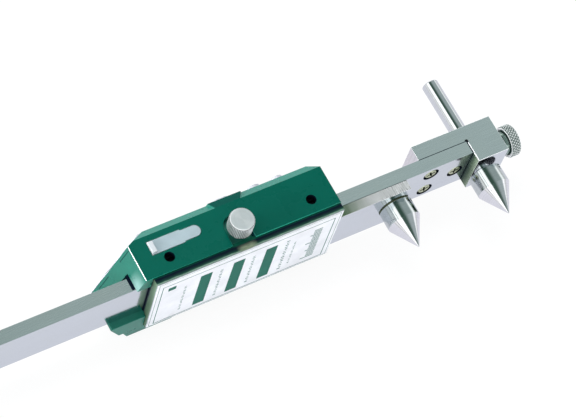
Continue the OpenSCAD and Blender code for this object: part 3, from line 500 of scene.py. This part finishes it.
def rounded(name, node, width, keep=None, segments=3, shortest=0.0, broadest=None, ledge=None):
    # eases a solid's sharp edges, all or those over shortest (mm); keep gives the share that an edge does without;
    # faces over broadest (mm2) are shaded flat instead of by weighted normals
    work = copyOf(node, ledge)
    layer = work.edges.layers.float.new("bevel_weight_edge")
    for edge in work.edges:
        bent = len(edge.link_faces) == 2 and edge.calc_face_angle(0) > radians(32)
        if bent and edge.calc_length() > shortest / 1000:
            edge[layer] = 1 - float(keep(edge)) if keep else 1
    piece = pieceFrom(name, work)
    piece.data.shade_smooth()
    bevel = piece.modifiers.new("edges", "BEVEL")
    bevel.width = width / 1000
    bevel.segments = segments
    bevel.limit_method = "WEIGHT"
    bevel.use_clamp_overlap = shortest == 0
    bevel.miter_outer = "MITER_ARC"
    if broadest is None:
        piece.modifiers.new("shading", "WEIGHTED_NORMAL").weight = 100
        return plainMesh(piece)
    plainMesh(piece)
    for face in piece.data.polygons:
        face.use_smooth = face.area * 1e6 < broadest
    return piece


def byNormal(piece, rules):
    # each face takes the first material whose rule its normal and its middle (mm on the beam) meet, or the last
    for face in piece.data.polygons:
        middle = onBeam(face.center)
        met = (index for index, rule in enumerate(rules) if rule(face.normal, middle))
        face.material_index = next(met, len(rules))
    return piece


def aligned(name, work, place, axis):  # what was built along z, turned to an axis and moved to its place
    bmesh.ops.recalc_face_normals(work, faces=work.faces)
    turn = Vector((0, 0, 1)).rotation_difference(Vector(axis)).to_matrix().to_4x4()
    bmesh.ops.transform(work, matrix=Matrix.Translation(place) @ turn, verts=work.verts)
    for edge in work.edges:
        edge.smooth = not (len(edge.link_faces) == 2 and edge.calc_face_angle(0) > radians(24))
    return pieceFrom(name, work)


def ringOf(work, radius, along, segments):  # a ring of points round z, in mm; the radius may be a list
    radii = radius if isinstance(radius, list) else [radius] * segments
    return [work.verts.new((r / 1000 * cos(tau * i / segments), r / 1000 * sin(tau * i / segments),
        along / 1000)) for i, r in enumerate(radii)]


def skinned(work, rings, segments):
    for low, high in zip(rings, rings[1:]):
        for i in range(segments):
            j = (i + 1) % segments
            corners = [low[i % len(low)], low[j % len(low)], high[j % len(high)], high[i % len(high)]]
            work.faces.new(list(dict.fromkeys(corners)))


def turned(name, profile, place, axis, segments=128):
    # profile: pairs of radius and distance along the axis, in mm; its first and last points lie on the axis
    work = bmesh.new()
    rings = [ringOf(work, radius, along, 1 if radius < 1e-6 else segments) for radius, along in profile]
    skinned(work, rings, segments)
    piece = aligned(name, work, place, axis)
    for face in piece.data.polygons:
        face.use_smooth = True
    return piece


def easedProfile(corners, radius=0.08, steps=4):  # rounds the corners of a turned profile a little
    curve = [corners[0]]
    for before, corner, after in zip(corners, corners[1:], corners[2:]):
        b, c, a = Vector(before), Vector(corner), Vector(after)
        into, out = b - c, a - c
        if into.length < 1e-6 or out.length < 1e-6 or into.angle(out) > radians(168):
            curve.append(tuple(c))
            continue
        cut = min(radius, into.length * 0.45, out.length * 0.45)
        start, end = c + into.normalized() * cut, c + out.normalized() * cut
        for step in range(steps + 1):
            t = step / steps
            curve.append(tuple(start * (1 - t) ** 2 + c * 2 * t * (1 - t) + end * t * t))
    return curve + [corners[-1]]


def boxes(name, spans):  # thin flat pieces such as print: spans of x, y and z on the beam, in mm
    work = bmesh.new()
    for span in spans:
        made = bmesh.ops.create_cube(work, size=1)["verts"]
        size = Vector([high - low for low, high in span]) / 1000
        middle = mm(*((low + high) / 2 for low, high in span))
        bmesh.ops.transform(work, matrix=Matrix.Translation(middle) @ Matrix.Diagonal(size.to_4d()), verts=made)
    return pieceFrom(name, work)


def merged(*pieces):
    work = bmesh.new()
    for piece in pieces:
        old = piece.data
        work.from_mesh(old)
        bpy.data.objects.remove(piece)
        bpy.data.meshes.remove(old)
    return work


# Geometry trees for what repeats

def geometryTree(name, look):  # a tree with an input for each of a piece's settings and for its material
    tree = bpy.data.node_groups.new(name, "GeometryNodeTree")
    kinds = {float: "Float", int: "Int", tuple: "Vector"}
    tree.interface.new_socket("Geometry", in_out="OUTPUT", socket_type="NodeSocketGeometry")
    inputs = {"Geometry": "Geometry", **{label: kinds[type(value)] for label, value in look.items()}}
    for label, kind in {**inputs, "Material": "Material"}.items():
        tree.interface.new_socket(label, in_out="INPUT", socket_type="NodeSocket" + kind)
    return tree, wired(tree, "NodeGroupInput").outputs


def ended(geometry, material):
    tree = geometry.id_data
    real = wired(tree, "GeometryNodeRealizeInstances", {"Geometry": geometry})
    coat = wired(tree, "GeometryNodeSetMaterial", {"Geometry": real.outputs[0], "Material": material})
    wired(tree, "NodeGroupOutput", {"Geometry": coat.outputs[0]})
    return tree


def grown(name, tree, look, material=None, points=()):  # runs a tree on some points and keeps the plain mesh
    seed = bpy.data.meshes.new(name)
    seed.from_pydata([tuple(point) for point in points], [], [])
    piece = linked(name, seed)
    modifier = piece.modifiers.new("tree", "NODES")
    modifier.node_group = tree
    values = {**look, "Material": material}
    for socket in tree.interface.items_tree:
        if socket.in_out == "INPUT" and values.get(socket.name) is not None:
            modifier[socket.identifier] = values[socket.name]
    return plainMesh(piece)


def moved(geometry, z):
    place = vector(z=z) if isSocket(z) else (0, 0, z)
    return wired(geometry.id_data, "GeometryNodeTransform", {"Geometry": geometry, "Translation": place}).outputs[0]


def cylinder(vertices, radius, depth):
    size = {"Vertices": vertices, "Radius": radius, "Depth": depth}
    return wired(radius.id_data, "GeometryNodeMeshCylinder", size, fill_type="NGON").outputs


def screwTree(look):  # cross-slotted screws on a row of points, each turned a little by chance
    tree, put = geometryTree("crossHeadScrews", look)
    low = maths("SUBTRACT", put["Head Height"], put["Edge"])
    head = cylinder(64, put["Head Radius"], low)
    top = {"Mesh": head["Mesh"], "Selection": head["Top"], "Offset Scale": put["Edge"], "Individual": False}
    taller = wired(tree, "GeometryNodeExtrudeMesh", top, mode="FACES").outputs
    narrow = maths("SUBTRACT", put["Head Radius"], put["Edge"])
    narrowing = {"Geometry": taller["Mesh"], "Selection": taller["Top"],
        "Scale": maths("DIVIDE", narrow, put["Head Radius"])}
    chamfered = wired(tree, "GeometryNodeScaleElements", narrowing).outputs[0]
    cut = wired(tree, "GeometryNodeMeshBoolean", {"Mesh 1": moved(chamfered, product(low, -0.5))},
        operation="DIFFERENCE", solver="EXACT")
    cross = wired(tree, "GeometryNodeMeshBoolean", operation="UNION", solver="EXACT")
    deep = product(put["Slot Depth"], 2.0)
    for sides in (("Slot Length", "Slot Width"), ("Slot Width", "Slot Length")):
        size = vector(*(put[side] for side in sides), deep)
        arm = wired(tree, "GeometryNodeMeshCube", {"Size": size})
        tree.links.new(arm.outputs["Mesh"], cross.inputs["Mesh 2"])
    tree.links.new(moved(cross.outputs["Mesh"], put["Edge"]), cut.inputs["Mesh 2"])
    thread = cylinder(32, put["Thread Radius"], put["Thread Length"])["Mesh"]
    sunk = maths("ADD", product(put["Thread Length"], 0.5), low)
    whole = wired(tree, "GeometryNodeJoinGeometry")
    for part in (moved(thread, product(sunk, -1.0)), cut.outputs["Mesh"]):
        tree.links.new(part, whole.inputs[0])
    spread = {"Points": put["Geometry"], "Instance": whole.outputs[0]}
    chance = wired(tree, "FunctionNodeRandomValue", {2: 0.0, 3: put["Spin"], "Seed": 7}, data_type="FLOAT").outputs[1]
    screws = wired(tree, "GeometryNodeInstanceOnPoints", spread).outputs[0]
    for turn in (put["Turn"], vector(z=chance)):
        screws = wired(tree, "GeometryNodeRotateInstances", {"Instances": screws, "Rotation": turn}).outputs[0]
    return ended(screws, put["Material"])


def knurlTree(look):  # a knurled band round z, with chamfered ends
    tree, put = geometryTree("knurledBand", look)
    across = maths("MULTIPLY_ADD", put["Teeth"], 8.0, 1.0)
    size = {"Size X": 1.0, "Size Y": 1.0, "Vertices X": across, "Vertices Y": put["Rows"]}
    grid = wired(tree, "GeometryNodeMeshGrid", size).outputs["Mesh"]
    place = wired(tree, "ShaderNodeSeparateXYZ", {0: wired(tree, "GeometryNodeInputPosition").outputs[0]}).outputs
    way, high = (maths("ADD", place[i], 0.5) for i in (0, 1))
    angle = product(way, tau)
    along = product(high, put["Length"])
    tooth, lean = product(way, put["Teeth"]), product(high, put["Slant"])
    waves = [product(maths("PINGPONG", maths(operation, tooth, lean), 0.5), 2.0)
        for operation in ("ADD", "SUBTRACT")]
    groove = product(maths("MAXIMUM", *waves), put["Depth"])
    fromEnd = maths("MINIMUM", along, maths("SUBTRACT", put["Length"], along))
    chamfer = maths("ADD", maths("SUBTRACT", put["Radius"], put["Chamfer"]), fromEnd)
    radius = maths("MINIMUM", maths("SUBTRACT", put["Radius"], groove), chamfer)
    x, y = (product(radius, maths(operation, angle)) for operation in ("COSINE", "SINE"))
    bent = {"Geometry": grid, "Position": vector(x, y, along)}
    closed = {"Geometry": wired(tree, "GeometryNodeSetPosition", bent).outputs[0], "Distance": 1e-7}
    return ended(wired(tree, "GeometryNodeMergeByDistance", closed).outputs[0], put["Material"])


def tickTree(look):  # ruler marks along x: every fifth is longer and every tenth the longest
    tree, put = geometryTree("rulerMarks", look)
    row = {"Count": put["Count"], "Offset": vector(put["Pitch"])}
    line = wired(tree, "GeometryNodeMeshLine", row, mode="OFFSET").outputs["Mesh"]
    index = wired(tree, "GeometryNodeInputIndex").outputs[0]
    long = put["Short"]
    for each, shorter, longer in ((5.0, "Short", "Middle"), (10.0, "Middle", "Long")):
        chosen = maths("COMPARE", maths("MODULO", index, each), 0.0, 0.1)
        more = product(chosen, maths("SUBTRACT", put[longer], put[shorter]))
        long = maths("ADD", long, more)
    cube = moved(wired(tree, "GeometryNodeMeshCube", {"Size": (1, 1, 1)}).outputs["Mesh"], 0.5)
    marks = {"Points": line, "Instance": cube, "Scale": vector(put["Width"], put["Thickness"], long)}
    return ended(wired(tree, "GeometryNodeInstanceOnPoints", marks).outputs[0], put["Material"])


def ridgeTree(look):  # half-round grip ridges on a row of points
    tree, put = geometryTree("gripRidges", look)
    bar = cylinder(24, put["Radius"], put["Length"])["Mesh"]
    flat = wired(tree, "GeometryNodeTransform", {"Geometry": bar, "Scale": vector(1.0, put["Height"], 1.0)})
    bars = {"Points": put["Geometry"], "Instance": flat.outputs[0]}
    return ended(wired(tree, "GeometryNodeInstanceOnPoints", bars).outputs[0], put["Material"])


def knurledKnob(name, tree, look, place, axis, steps):  # a knurled band, closed; steps: insets and drops of its faces
    work = merged(grown(name, tree, look))
    bmesh.ops.remove_doubles(work, verts=work.verts, dist=2e-7)
    rims = [edge for edge in work.edges if edge.is_boundary]
    faces = bmesh.ops.holes_fill(work, edges=rims, sides=0)["faces"]
    for inset, drop in steps:
        for face in list(faces):
            bmesh.ops.inset_region(work, faces=[face], thickness=inset, depth=0, use_even_offset=False)
            if drop:
                bmesh.ops.translate(work, verts=list(face.verts), vec=face.normal * drop)
    return aligned(name, work, place, axis)


def threadedRod(name, place, axis, radius, start, end, pitch, depth, segments=48, rows=10):
    # a helical thread, closed at both ends
    work = bmesh.new()
    count = max(2, int((end - start) / pitch * rows))
    rings = []
    for row in range(count + 1):
        along = start + (end - start) * row / count
        phases = [(along / pitch - i / segments) % 1 for i in range(segments)]
        shares = [min(1, 2.2 * abs(phase - 0.5)) if 0 < row < count else 1 for phase in phases]
        rings.append(ringOf(work, [radius - depth * share for share in shares], along, segments))
    skinned(work, rings, segments)
    work.faces.new(rings[0][::-1])
    work.faces.new(rings[-1])
    return aligned(name, work, place, axis)


print("tools ready")


# Beam, scale and end stop

def alongX(n, c):
    return abs(n.x) < 0.7 and abs(n.y) < 0.7


def broad(n, c):
    return abs(n.y) >= 0.7


def nearScrew(c, radius):
    return any(hypot(c.x - x, c.z - z) < radius for x, z in beamLook["screws"])


beamLook = {"edge": 0.12, "screws": ((16.8, 4.4), (16.8, -4.4), (7.7, 0)), "bore": 2.52}
beam = rounded("beamBar", "main_beam", beamLook["edge"], segments=2, broadest=5)
byNormal(beam, [lambda n, c: nearScrew(c, beamLook["bore"]), alongX, broad])
finished(beam, "beam", "beam_steel", [gapShade, steelAlongX, broadSteel, steelAlongZ], "main_beam")
stopLook = {"edge": 0.25}
stop = byNormal(rounded("endStopPlate", "end_stop", stopLook["edge"]), [alongX, broad])
finished(stop, "beam", "plate_steel", [steelAlongX, broadSteel, steelAlongZ], "end_stop")
recoated("scale_strip", scaleFilm)

strokesOfFigures = "abcdef bc abged abgcd fgbc afgcd afgedc abc abcdefg abcdfg".split()  # 0 to 9


def digitSpans(text, x, z, high, y, gap=0.36, line=0.13):
    # plain seven-stroke figures: x and z of the lower left corner and the height in mm; gap and line are shares
    wide, thick, spans = high * 0.5, high * line, []
    left, across, right = (0, thick), (thick, wide - thick), (wide - thick, wide)
    lower, upper = (0, high / 2), (high / 2, high)
    strokes = {"a": (across, (high - thick, high)), "b": (right, upper), "c": (right, lower), "d": (across, (0, thick)),
        "e": (left, lower), "f": (left, upper), "g": (across, (high / 2 - thick / 2, high / 2 + thick / 2))}
    for figure in text:
        if figure == ".":
            spans.append(((x, x + thick * 1.2), y, (z, z + thick * 1.2)))
            x += thick * 1.2 + gap * wide
            continue
        for name in strokesOfFigures[int(figure)]:
            (x0, x1), (z0, z1) = strokes[name]
            spans.append(((x + x0, x + x1), y, (z + z0, z + z1)))
        x += wide * (1 + gap)
    return spans


scaleLook = {"zero": 24, "length": 260, "face": (-4.012, -4.0), "numberFoot": 0.4, "numberHeight": 1.9}
tickLook = {"Count": 261, "Pitch": 0.001, "Width": 0.00016, "Thickness": 0.000012, "Short": 0.0022, "Middle": 0.0032,
    "Long": 0.0042}
rulerMarks = tickTree(tickLook)
scaleTicks = grown("scaleTicks", rulerMarks, tickLook, scaleInk)
scaleTicks.data.transform(Matrix.Translation(mm(scaleLook["zero"], -4.006, -5.1)))
finished(scaleTicks, "beam", "label_white", [scaleInk])
spans = [((scaleLook["zero"], scaleLook["zero"] + scaleLook["length"]), scaleLook["face"], (-5.25, -5.1))]
for mark in range(0, scaleLook["length"] + 1, 10):
    spans += digitSpans(str(mark), scaleLook["zero"] + mark - len(str(mark)) * 0.61, scaleLook["numberFoot"],
        scaleLook["numberHeight"], scaleLook["face"])
finished(boxes("scaleNumbers", spans), "beam", "label_white", [scaleInk])
print("beam made")

# Jaw block and its screws

blockLook = {"edge": 0.26, "others": 0.6}


def insideBlock(edge):  # only the top edges on the back are worn wide, and the relief groove stays sharp
    places = [onBeam(vert.co) for vert in edge.verts]
    if all(abs(place.x - 3.6) < 1 and abs(place.y + 4) < 1 for place in places):
        return 1
    return 0 if all(place.z > 7.9 and place.y > -0.05 for place in places) else blockLook["others"]


def wornTop(n, c):  # the narrow rounded strips along the top edges, which take a painted highlight
    return 0.25 < n.z < 0.93 and abs(n.x) < 0.93 and abs(n.y) < 0.93 and c.z > 7.5


block = rounded("jawBlockSteel", "jaw_block", blockLook["edge"], insideBlock, shortest=1.5, broadest=5)
byNormal(block, [wornTop, lambda n, c: n.x > 0.9 and 3 < c.x < 4, alongX, broad])
finished(block, "beam", "plate_steel", [edgeHighlight, jawStepShade, steelAlongX, broadSteel, steelAlongZ], "jaw_block")
jointLines = [((3.75, 19.5), (-4.1, -3.9), (8.0, 8.012)), ((3.42, 3.74), (-4.0, 0.0), (8.0, 8.012)),
    ((3.5, 3.72), (0.0, 0.012), (-8.0, 7.9))]
finished(boxes("jawJointLine", jointLines), "beam", "dark_steel", [gapShade])
# a painted highlight line along the block's top edge beside the joint
finished(boxes("jawHighlightLine", [((3.16, 3.4), (-3.5, 2.8), (8.0, 8.014))]), "beam", "plate_steel", [edgeHighlight])
screwLook = {"Head Radius": 0.00198, "Head Height": 0.0014, "Edge": 0.00026, "Slot Width": 0.0006,
    "Slot Length": 0.0028, "Slot Depth": 0.0008, "Thread Radius": 0.00125, "Thread Length": 0.0056,
    "Turn": (-pi / 2, 0.0, 0.0), "Spin": 0.5}
screwPlaces = [mm(x, -0.4, z) for x, z in beamLook["screws"]]
jawScrews = grown("jawCrossScrews", screwTree(screwLook), screwLook, screwSteel, screwPlaces)
byNormal(jawScrews, [lambda n, c: c.y < -0.3 and nearScrew(c, 1.5)])  # the floor and walls of the cross
finished(jawScrews, "beam", "screw_steel", [slotShade, screwSteel], "jaw_screws")
print("jaw block made")

# Points

pointLook = {"body": 5, "bodyLength": 5.5, "tip": 0.12, "edge": 0.07, "coneSheenTone": (0.8, 0.81, 0.84),
    "bodyShadeTone": (0.61, 0.66, 0.66), "fixedStart": 4.15, "slidingStart": 3, "slidingX": 29.5}


def pointTop(start):  # body and 60 degree cone from a given distance behind the beam
    cone = start + pointLook["bodyLength"]
    tip = cone + (pointLook["body"] - pointLook["tip"]) / tan(radians(30))
    return [(pointLook["body"], start), (pointLook["body"], cone), (pointLook["tip"], tip), (0, tip)]


def darkRing(n, c):  # painted shade on the fixed point's shoulder and on the rod just below it
    return (n.y < -0.7 and c.y > 4) or (2.95 < c.y < 4.1 and hypot(c.x, c.z) < 3)


fixedPlace, slidingPlace = mm(0, 0, 0), mm(pointLook["slidingX"], 0, 0)
fixedSteel = turnedSteel("fixedPointSteel", fixedPlace, "y")
# cones toned lighter and bodies darker than the rod of the same steel: painted reflection
fixedCone = turnedSteel("fixedConeSteel", fixedPlace, "y", pointLook["coneSheenTone"])
fixedBody = turnedSteel("fixedBodySteel", fixedPlace, "y", pointLook["bodyShadeTone"])
slidingCone = turnedSteel("sliderConeSteel", slidingPlace, "y", pointLook["coneSheenTone"])
slidingBody = turnedSteel("sliderBodySteel", slidingPlace, "y", pointLook["bodyShadeTone"])
rod = [(0, 4.15 - 32), (2.2, 4.15 - 32), (2.5, 4.45 - 32), (2.5, 4.15)]
fixed = turned("fixedPointRod", easedProfile(rod + pointTop(pointLook["fixedStart"]), pointLook["edge"]), fixedPlace,
    (0, 1, 0))
byNormal(fixed, [darkRing, lambda n, c: c.y > 9.66, lambda n, c: c.y > 4])
finished(fixed, "point_rod", "point_steel", [darkSteel, fixedCone, fixedBody, fixedSteel], "fixed_point")
stud = [(0, 0.05), (2, 0.05), (2, 3.0), (4.82, 3.0), (4.82, 3.22), (5, 3.3)]
sliding = turned("sliderPointCone", easedProfile(stud + pointTop(pointLook["slidingStart"])[1:], pointLook["edge"]),
    slidingPlace, (0, 1, 0))
byNormal(sliding, [lambda n, c: 2.95 < c.y < 3.31, lambda n, c: c.y > 8.51])
finished(sliding, "slider", "point_steel", [ringBronze, slidingCone, slidingBody], "slider_point")
print("points made")

# Clamp screw

clampLook = {"Radius": 0.00485, "Length": 0.0031, "Depth": 0.00034, "Teeth": 32, "Slant": 2.8, "Chamfer": 0.00045,
    "Rows": 36}
clampPlace, clampWay = mm(0, -2.3, 0), (-1, 0, 0)


def fromClampAxis(c):
    return hypot(c.y + 2.3, c.z)


knurledBand = knurlTree(clampLook)
clampSteel = turnedSteel("clampKnobSteel", clampPlace, "x", (0.93, 0.97, 0.97), (0.26, 0.36),
    grooves=(4.56, 4.8, (0.02, 0.065, 0.052)), metal=0.3)
clampRim = knurledKnob("clampRim", knurledBand, clampLook, mm(-10.5, -2.3, 0), clampWay, steps=[(0.0005, -0.00015)])
bossProfile = easedProfile([(0, 9.0), (3.5, 9.3), (3.5, 10.6), (0, 10.6)])
clampBoss = turned("clampBoss", bossProfile, clampPlace, clampWay, 96)
clampThread = threadedRod("clampThread", clampPlace, clampWay, radius=2.0, start=2.6, end=9.35, pitch=0.7, depth=0.38)
clamp = pieceFrom("clampScrewSteel", merged(clampRim, clampBoss, clampThread))
byNormal(clamp, [lambda n, c: n.x > 0.7 and fromClampAxis(c) < 3.9,
    lambda n, c: c.x > -10.7 and fromClampAxis(c) < 3.6])
finished(clamp, "clamp", "knurled_steel", [bossShade, bossGreenSheen, clampSteel], "clamp_screw")
print("clamp screw made")

# Slider plate with its arm

plateLook = {"edge": 0.13, "armEnd": 48.9}
plate = rounded("sliderPlateSteel", "slider_plate", plateLook["edge"], broadest=5)
byNormal(plate, [
    # the arm's rounded top-back edge takes the painted highlight
    lambda n, c: 0.25 < n.z < 0.93 and n.y > 0.3 and c.x < plateLook["armEnd"],
    lambda n, c: n.z > 0.7 and c.x < plateLook["armEnd"],
    lambda n, c: n.z > 0.7, lambda n, c: n.x > 0.7 and c.x > 100, alongX, broad])
finished(plate, "slider", "plate_steel",
    [edgeHighlight, armHatch, plateEdgeShade, plateEndShade, steelAlongX, broadSteel, steelAlongZ], "slider_plate")
slits = [((26.0, 48.9), (-0.03, 0.07), (8.0, 8.03)), ((107.0, 107.22), (0.03, 0.12), (-13.0, 8.0))]
finished(boxes("plateJointLines", slits), "slider", "dark_steel", [gapShade])
slotShadowSpan = [((111.35, 112.25), (-4.9, -0.3), (8.02, 8.1))]  # a dark strip at the slot's mouth: painted shadow of the housing on the beam's top
finished(boxes("slotShadowStrip", slotShadowSpan), "slider", "dark_steel", [gapShade])
print("slider plate made")

# Housing and front cover

housingLook = {"edge": 0.2, "bores": (56.3, 100.3)}
coverLook = {"edge": 0.14, "ledge": -13.0}


def leftSharp(edge):  # the seam, and what lies inside the slot, stays sharp
    middle = onBeam((edge.verts[0].co + edge.verts[1].co) / 2)
    return middle.y < -10.9 or (abs(middle.z) < 10.5 and -11 < middle.y < 0.7)


def tailEnd(n, c):
    return n.x > 0.7 and c.x > 105


housing = rounded("housingShell", "housing", housingLook["edge"], leftSharp, shortest=1.2, broadest=5)
byNormal(housing, [
    lambda n, c: 0.25 < n.x < 0.9 and n.z > 0.4 and abs(n.y) < 0.3 and c.x > 108.6 and c.z > 12.9,  # painted highlight on the rounded corner
    lambda n, c: 9.2 < c.z < 13.2 and any(hypot(c.x - x, c.y + 3.2) < 1.56 for x in housingLook["bores"]),
    lambda n, c: n.z < 0.9 and 9.2 < c.z < 13.2 and 74.8 < c.x < 83.9 and c.y > -7.6,  # the lock screw's notch, in painted shade
    lambda n, c: n.z > 0.93 and c.z > 12,
    lambda n, c: c.z > 12.7 and n.y > 0.3 and abs(n.x) < 0.5 and c.y > 0.3, tailEnd])
finished(housing, "slider", "green_housing",
    [edgeHighlight, gapShade, notchShadedPaint, topShadedPaint, edgeLitPaint, tailLitPaint, sideLitPaint], "housing")


def nearRim(edge):
    return all(onBeam(vert.co).y > -11.5 for vert in edge.verts)


cover = rounded("frontCoverShell", "front_cover", coverLook["edge"], nearRim, shortest=1.0, broadest=5,
    ledge=coverLook["ledge"])
byNormal(cover, [lambda n, c: n.z > 0.93, lambda n, c: n.z > 0.8 and -0.6 < n.y < -0.2, tailEnd,
    lambda n, c: 0.2 < n.z < 0.93 and n.y < -0.3])
finished(cover, "slider", "green_cover", [topShadedPaint, landShadedPaint, tailLitPaint, chamferLitPaint, sideLitPaint], "front_cover")

seamLook = {"tilt": radians(20.8), "foot": (109.3, 13.3), "out": (0, 0.012), "y": (-9.4, -9.24),
    "heights": ((7.7, 12.9), (-4.9, 0.9))}
seam = boxes("tailSeam", [(seamLook["out"], seamLook["y"], height) for height in seamLook["heights"]])
tilt = seamLook["tilt"]
start = (seamLook["foot"][0] + seamLook["foot"][1] * tan(tilt)) / 1000  # laid on the housing's slanting tail end
seam.data.transform(Matrix(((cos(tilt), 0, -tan(tilt), start), (0, 1, 0, 0), (sin(tilt), 0, 1, 0), (0, 0, 0, 1))))
finished(seam, "slider", "green_housing", [gapShade])
print("housing made")

# Lock screw

lockLook = {"Radius": 0.00365, "Length": 0.0051, "Depth": 0.00022, "Teeth": 48, "Slant": 0.0, "Chamfer": 0.00045,
    "Rows": 24}
lockPlace, lockWay = mm(79.35, -2.86, 0), (0, 0, 1)
lockSteel = turnedSteel("lockKnobSteel", lockPlace, "z", (0.7, 0.74, 0.75), (0.28, 0.38),
    grooves=(3.43, 3.57, (0.015, 0.03, 0.022)), fanHighlight=0.22, metal=0.72)
lockKnob = knurledKnob("lockKnob", knurledBand, lockLook, mm(79.35, -2.86, 14.8), lockWay, steps=[(0.0001, 0.0)])
lockThread = threadedRod("lockThread", lockPlace, lockWay, radius=1.5, start=9.3, end=14.85, pitch=0.5, depth=0.27)
lock = pieceFrom("lockScrewSteel", merged(lockKnob, lockThread))
finished(lock, "lock", "knurled_steel", [lockSteel], "lock_screw")
print("lock screw made")

# Port cover, lid and buttons

flapLook = {"edge": 0.2, "floor": 13.36, "tab": 103.8}
lidLook = {"edge": 0.2, "ridges": 6, "pitch": 1.1}
ridgeLook = {"Radius": 0.00035, "Length": 0.009, "Height": 0.55}
buttonLook = {"edge": 0.35}

flap = rounded("portCoverMoulding", "port_cover", flapLook["edge"])
byNormal(flap, [lambda n, c: c.z > flapLook["floor"] or c.x > flapLook["tab"]])
finished(flap, "port_flap", "grey_plastic", [tabPlastic, greyPlastic], "port_cover")
lid = rounded("batteryLidMoulding", "battery_lid", lidLook["edge"])
finished(lid, "lid", "pale_plastic", [palePlastic], "battery_lid")
ridgePlaces = [mm(94.4 + lidLook["pitch"] * i, -14.1, -1.6) for i in range(lidLook["ridges"])]
ridges = grown("lidRidges", ridgeTree(ridgeLook), ridgeLook, palePlastic, ridgePlaces)
finished(ridges, "lid", "pale_plastic", [palePlastic])
for which, body in (("first", "button_one"), ("second", "button_two"), ("long", "button_long")):
    button = rounded(which + "ButtonCap", which + "_button", buttonLook["edge"])
    finished(button, body, "pale_plastic", [palePlastic], which + "_button")
print("mouldings made")

# Rear label: frame lines, bars and plain strokes, no text

labelLook = {
    "edge": 0.06,
    "print": (3.2, 3.212),
    "frames": ((49.75, 106.3, -13.1, 12.05, 0.13), (51.2, 105.0, -12.5, 9.9, 0.26)),  # x, x, z, z, line
    "bars": (91.2, 81.0, 70.8),
    "barSize": (1.8, -10.8, 7.3),
    "rows": ((97.3, -9.6, 5.2, 0.34, 0.95), (86.3, -9.8, 6.6, 0.42, 1.05), (76.2, -9.8, 6.6, 0.42, 1.05),
        (65.6, -10.2, 6.9, 0.5, 1.2), (62.9, -8.6, 4.2, 0.3, 0.85)),  # x, z from and to, half width, step
    "strokes": (0.62, 0.38, 0.55, 0.3, 0.62, 0.45),
    "square": ((100.6, 103.0), (6.1, 8.0)),
}
nameLook = {"Count": 19, "Pitch": 0.0009, "Width": 0.00042, "Thickness": 0.000012, "Short": 0.0026, "Middle": 0.0034,
    "Long": 0.0042}
label = rounded("rearLabelFilm", "rear_label", labelLook["edge"], segments=2)
finished(label, "slider", "label_white", [labelFilm], "rear_label")


def labelSpans(look):
    face, spans = look["print"], []
    for x0, x1, z0, z1, line in look["frames"]:
        spans += [((x0, x1), face, (z0, z0 + line)), ((x0, x1), face, (z1 - line, z1)),
            ((x0, x0 + line), face, (z0 + line, z1 - line)), ((x1 - line, x1), face, (z0 + line, z1 - line))]
    half, low, high = look["barSize"]
    spans += [((x - half, x + half), face, (low, high)) for x in look["bars"]]
    for x, low, high, half, step in look["rows"]:
        z, turn = low, 0
        while z < high:
            length = step * look["strokes"][turn % 6]
            spans.append(((x - half, x + half - 0.25 * (turn % 3 == 1)), face, (z, z + length * 0.7)))
            z, turn = z + step, turn + 1
    return spans + [(look["square"][0], face, look["square"][1])]


finished(boxes("labelPrint", labelSpans(labelLook)), "slider", "green_housing", [labelInk])
labelTicks = grown("labelTicks", rulerMarks, nameLook, labelInk)
turnUp = Matrix(((0, 0, 1, 0), (0, 1, 0, 0), (1, 0, 0, 0), (0, 0, 0, 1)))  # the marks' row runs upwards
labelTicks.data.transform(Matrix.Translation(mm(54.6, 3.206, -9.6)) @ turnUp)
labelTicks.data.flip_normals()
finished(labelTicks, "slider", "green_housing", [labelInk])
print("label made")

# Display and inner parts

windowLook = {"edge": 0.1, "back": -13.012}  # mm; its back is held off the ledge by the glue
window = rounded("displayWindowPane", "display_window", windowLook["edge"], segments=2)
for vert in window.data.vertices:
    vert.co.y = min(vert.co.y, (windowLook["back"] - shoulder) / 1000)
finished(window, "slider", "clear_window", [clearWindow], "display_window")

innerFinishes = (
    (displayGrey, "display_glass"), (blackPlastic, "display_frame circuit_chips port_socket"),
    (greyRubber, "rubber_connectors"), (boardGreen, "circuit_board"), (cellSteel, "button_switches coin_cell"),
    (bronze, "battery_contacts gib_strip port_contacts"), (darkSteel, "gib_screws plate_screws cover_screws"),
    (screwSteel, "end_stop_screws"))
for material, names in innerFinishes:
    for node in names.split():
        recoated(node, material)

readingLook = {"text": "29.50", "left": 0.24, "foot": 0.22, "height": 0.52, "bars": 0.9, "barFoot": 0.24}  # shares
glassLow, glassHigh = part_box("display_glass")
front = glassLow[1] * 1000 + shoulder
ink = (front - 0.02, front - 0.002)
left, low = glassLow[0] * 1000, glassLow[2] * 1000
wide, high = (glassHigh[0] - glassLow[0]) * 1000, (glassHigh[2] - glassLow[2]) * 1000
reading = digitSpans(readingLook["text"], left + wide * readingLook["left"], low + high * readingLook["foot"],
    high * readingLook["height"], ink, gap=0.42, line=0.12)
barsLeft, barsFoot = left + wide * readingLook["bars"], low + high * readingLook["barFoot"]
reading += [((barsLeft + i * 0.7, barsLeft + 0.3 + i * 0.7), ink, (barsFoot, barsFoot + 1.2)) for i in range(3)]
finished(boxes("displayDigits", reading), "slider", "black_plastic", [displayInk])
print("inner parts finished")
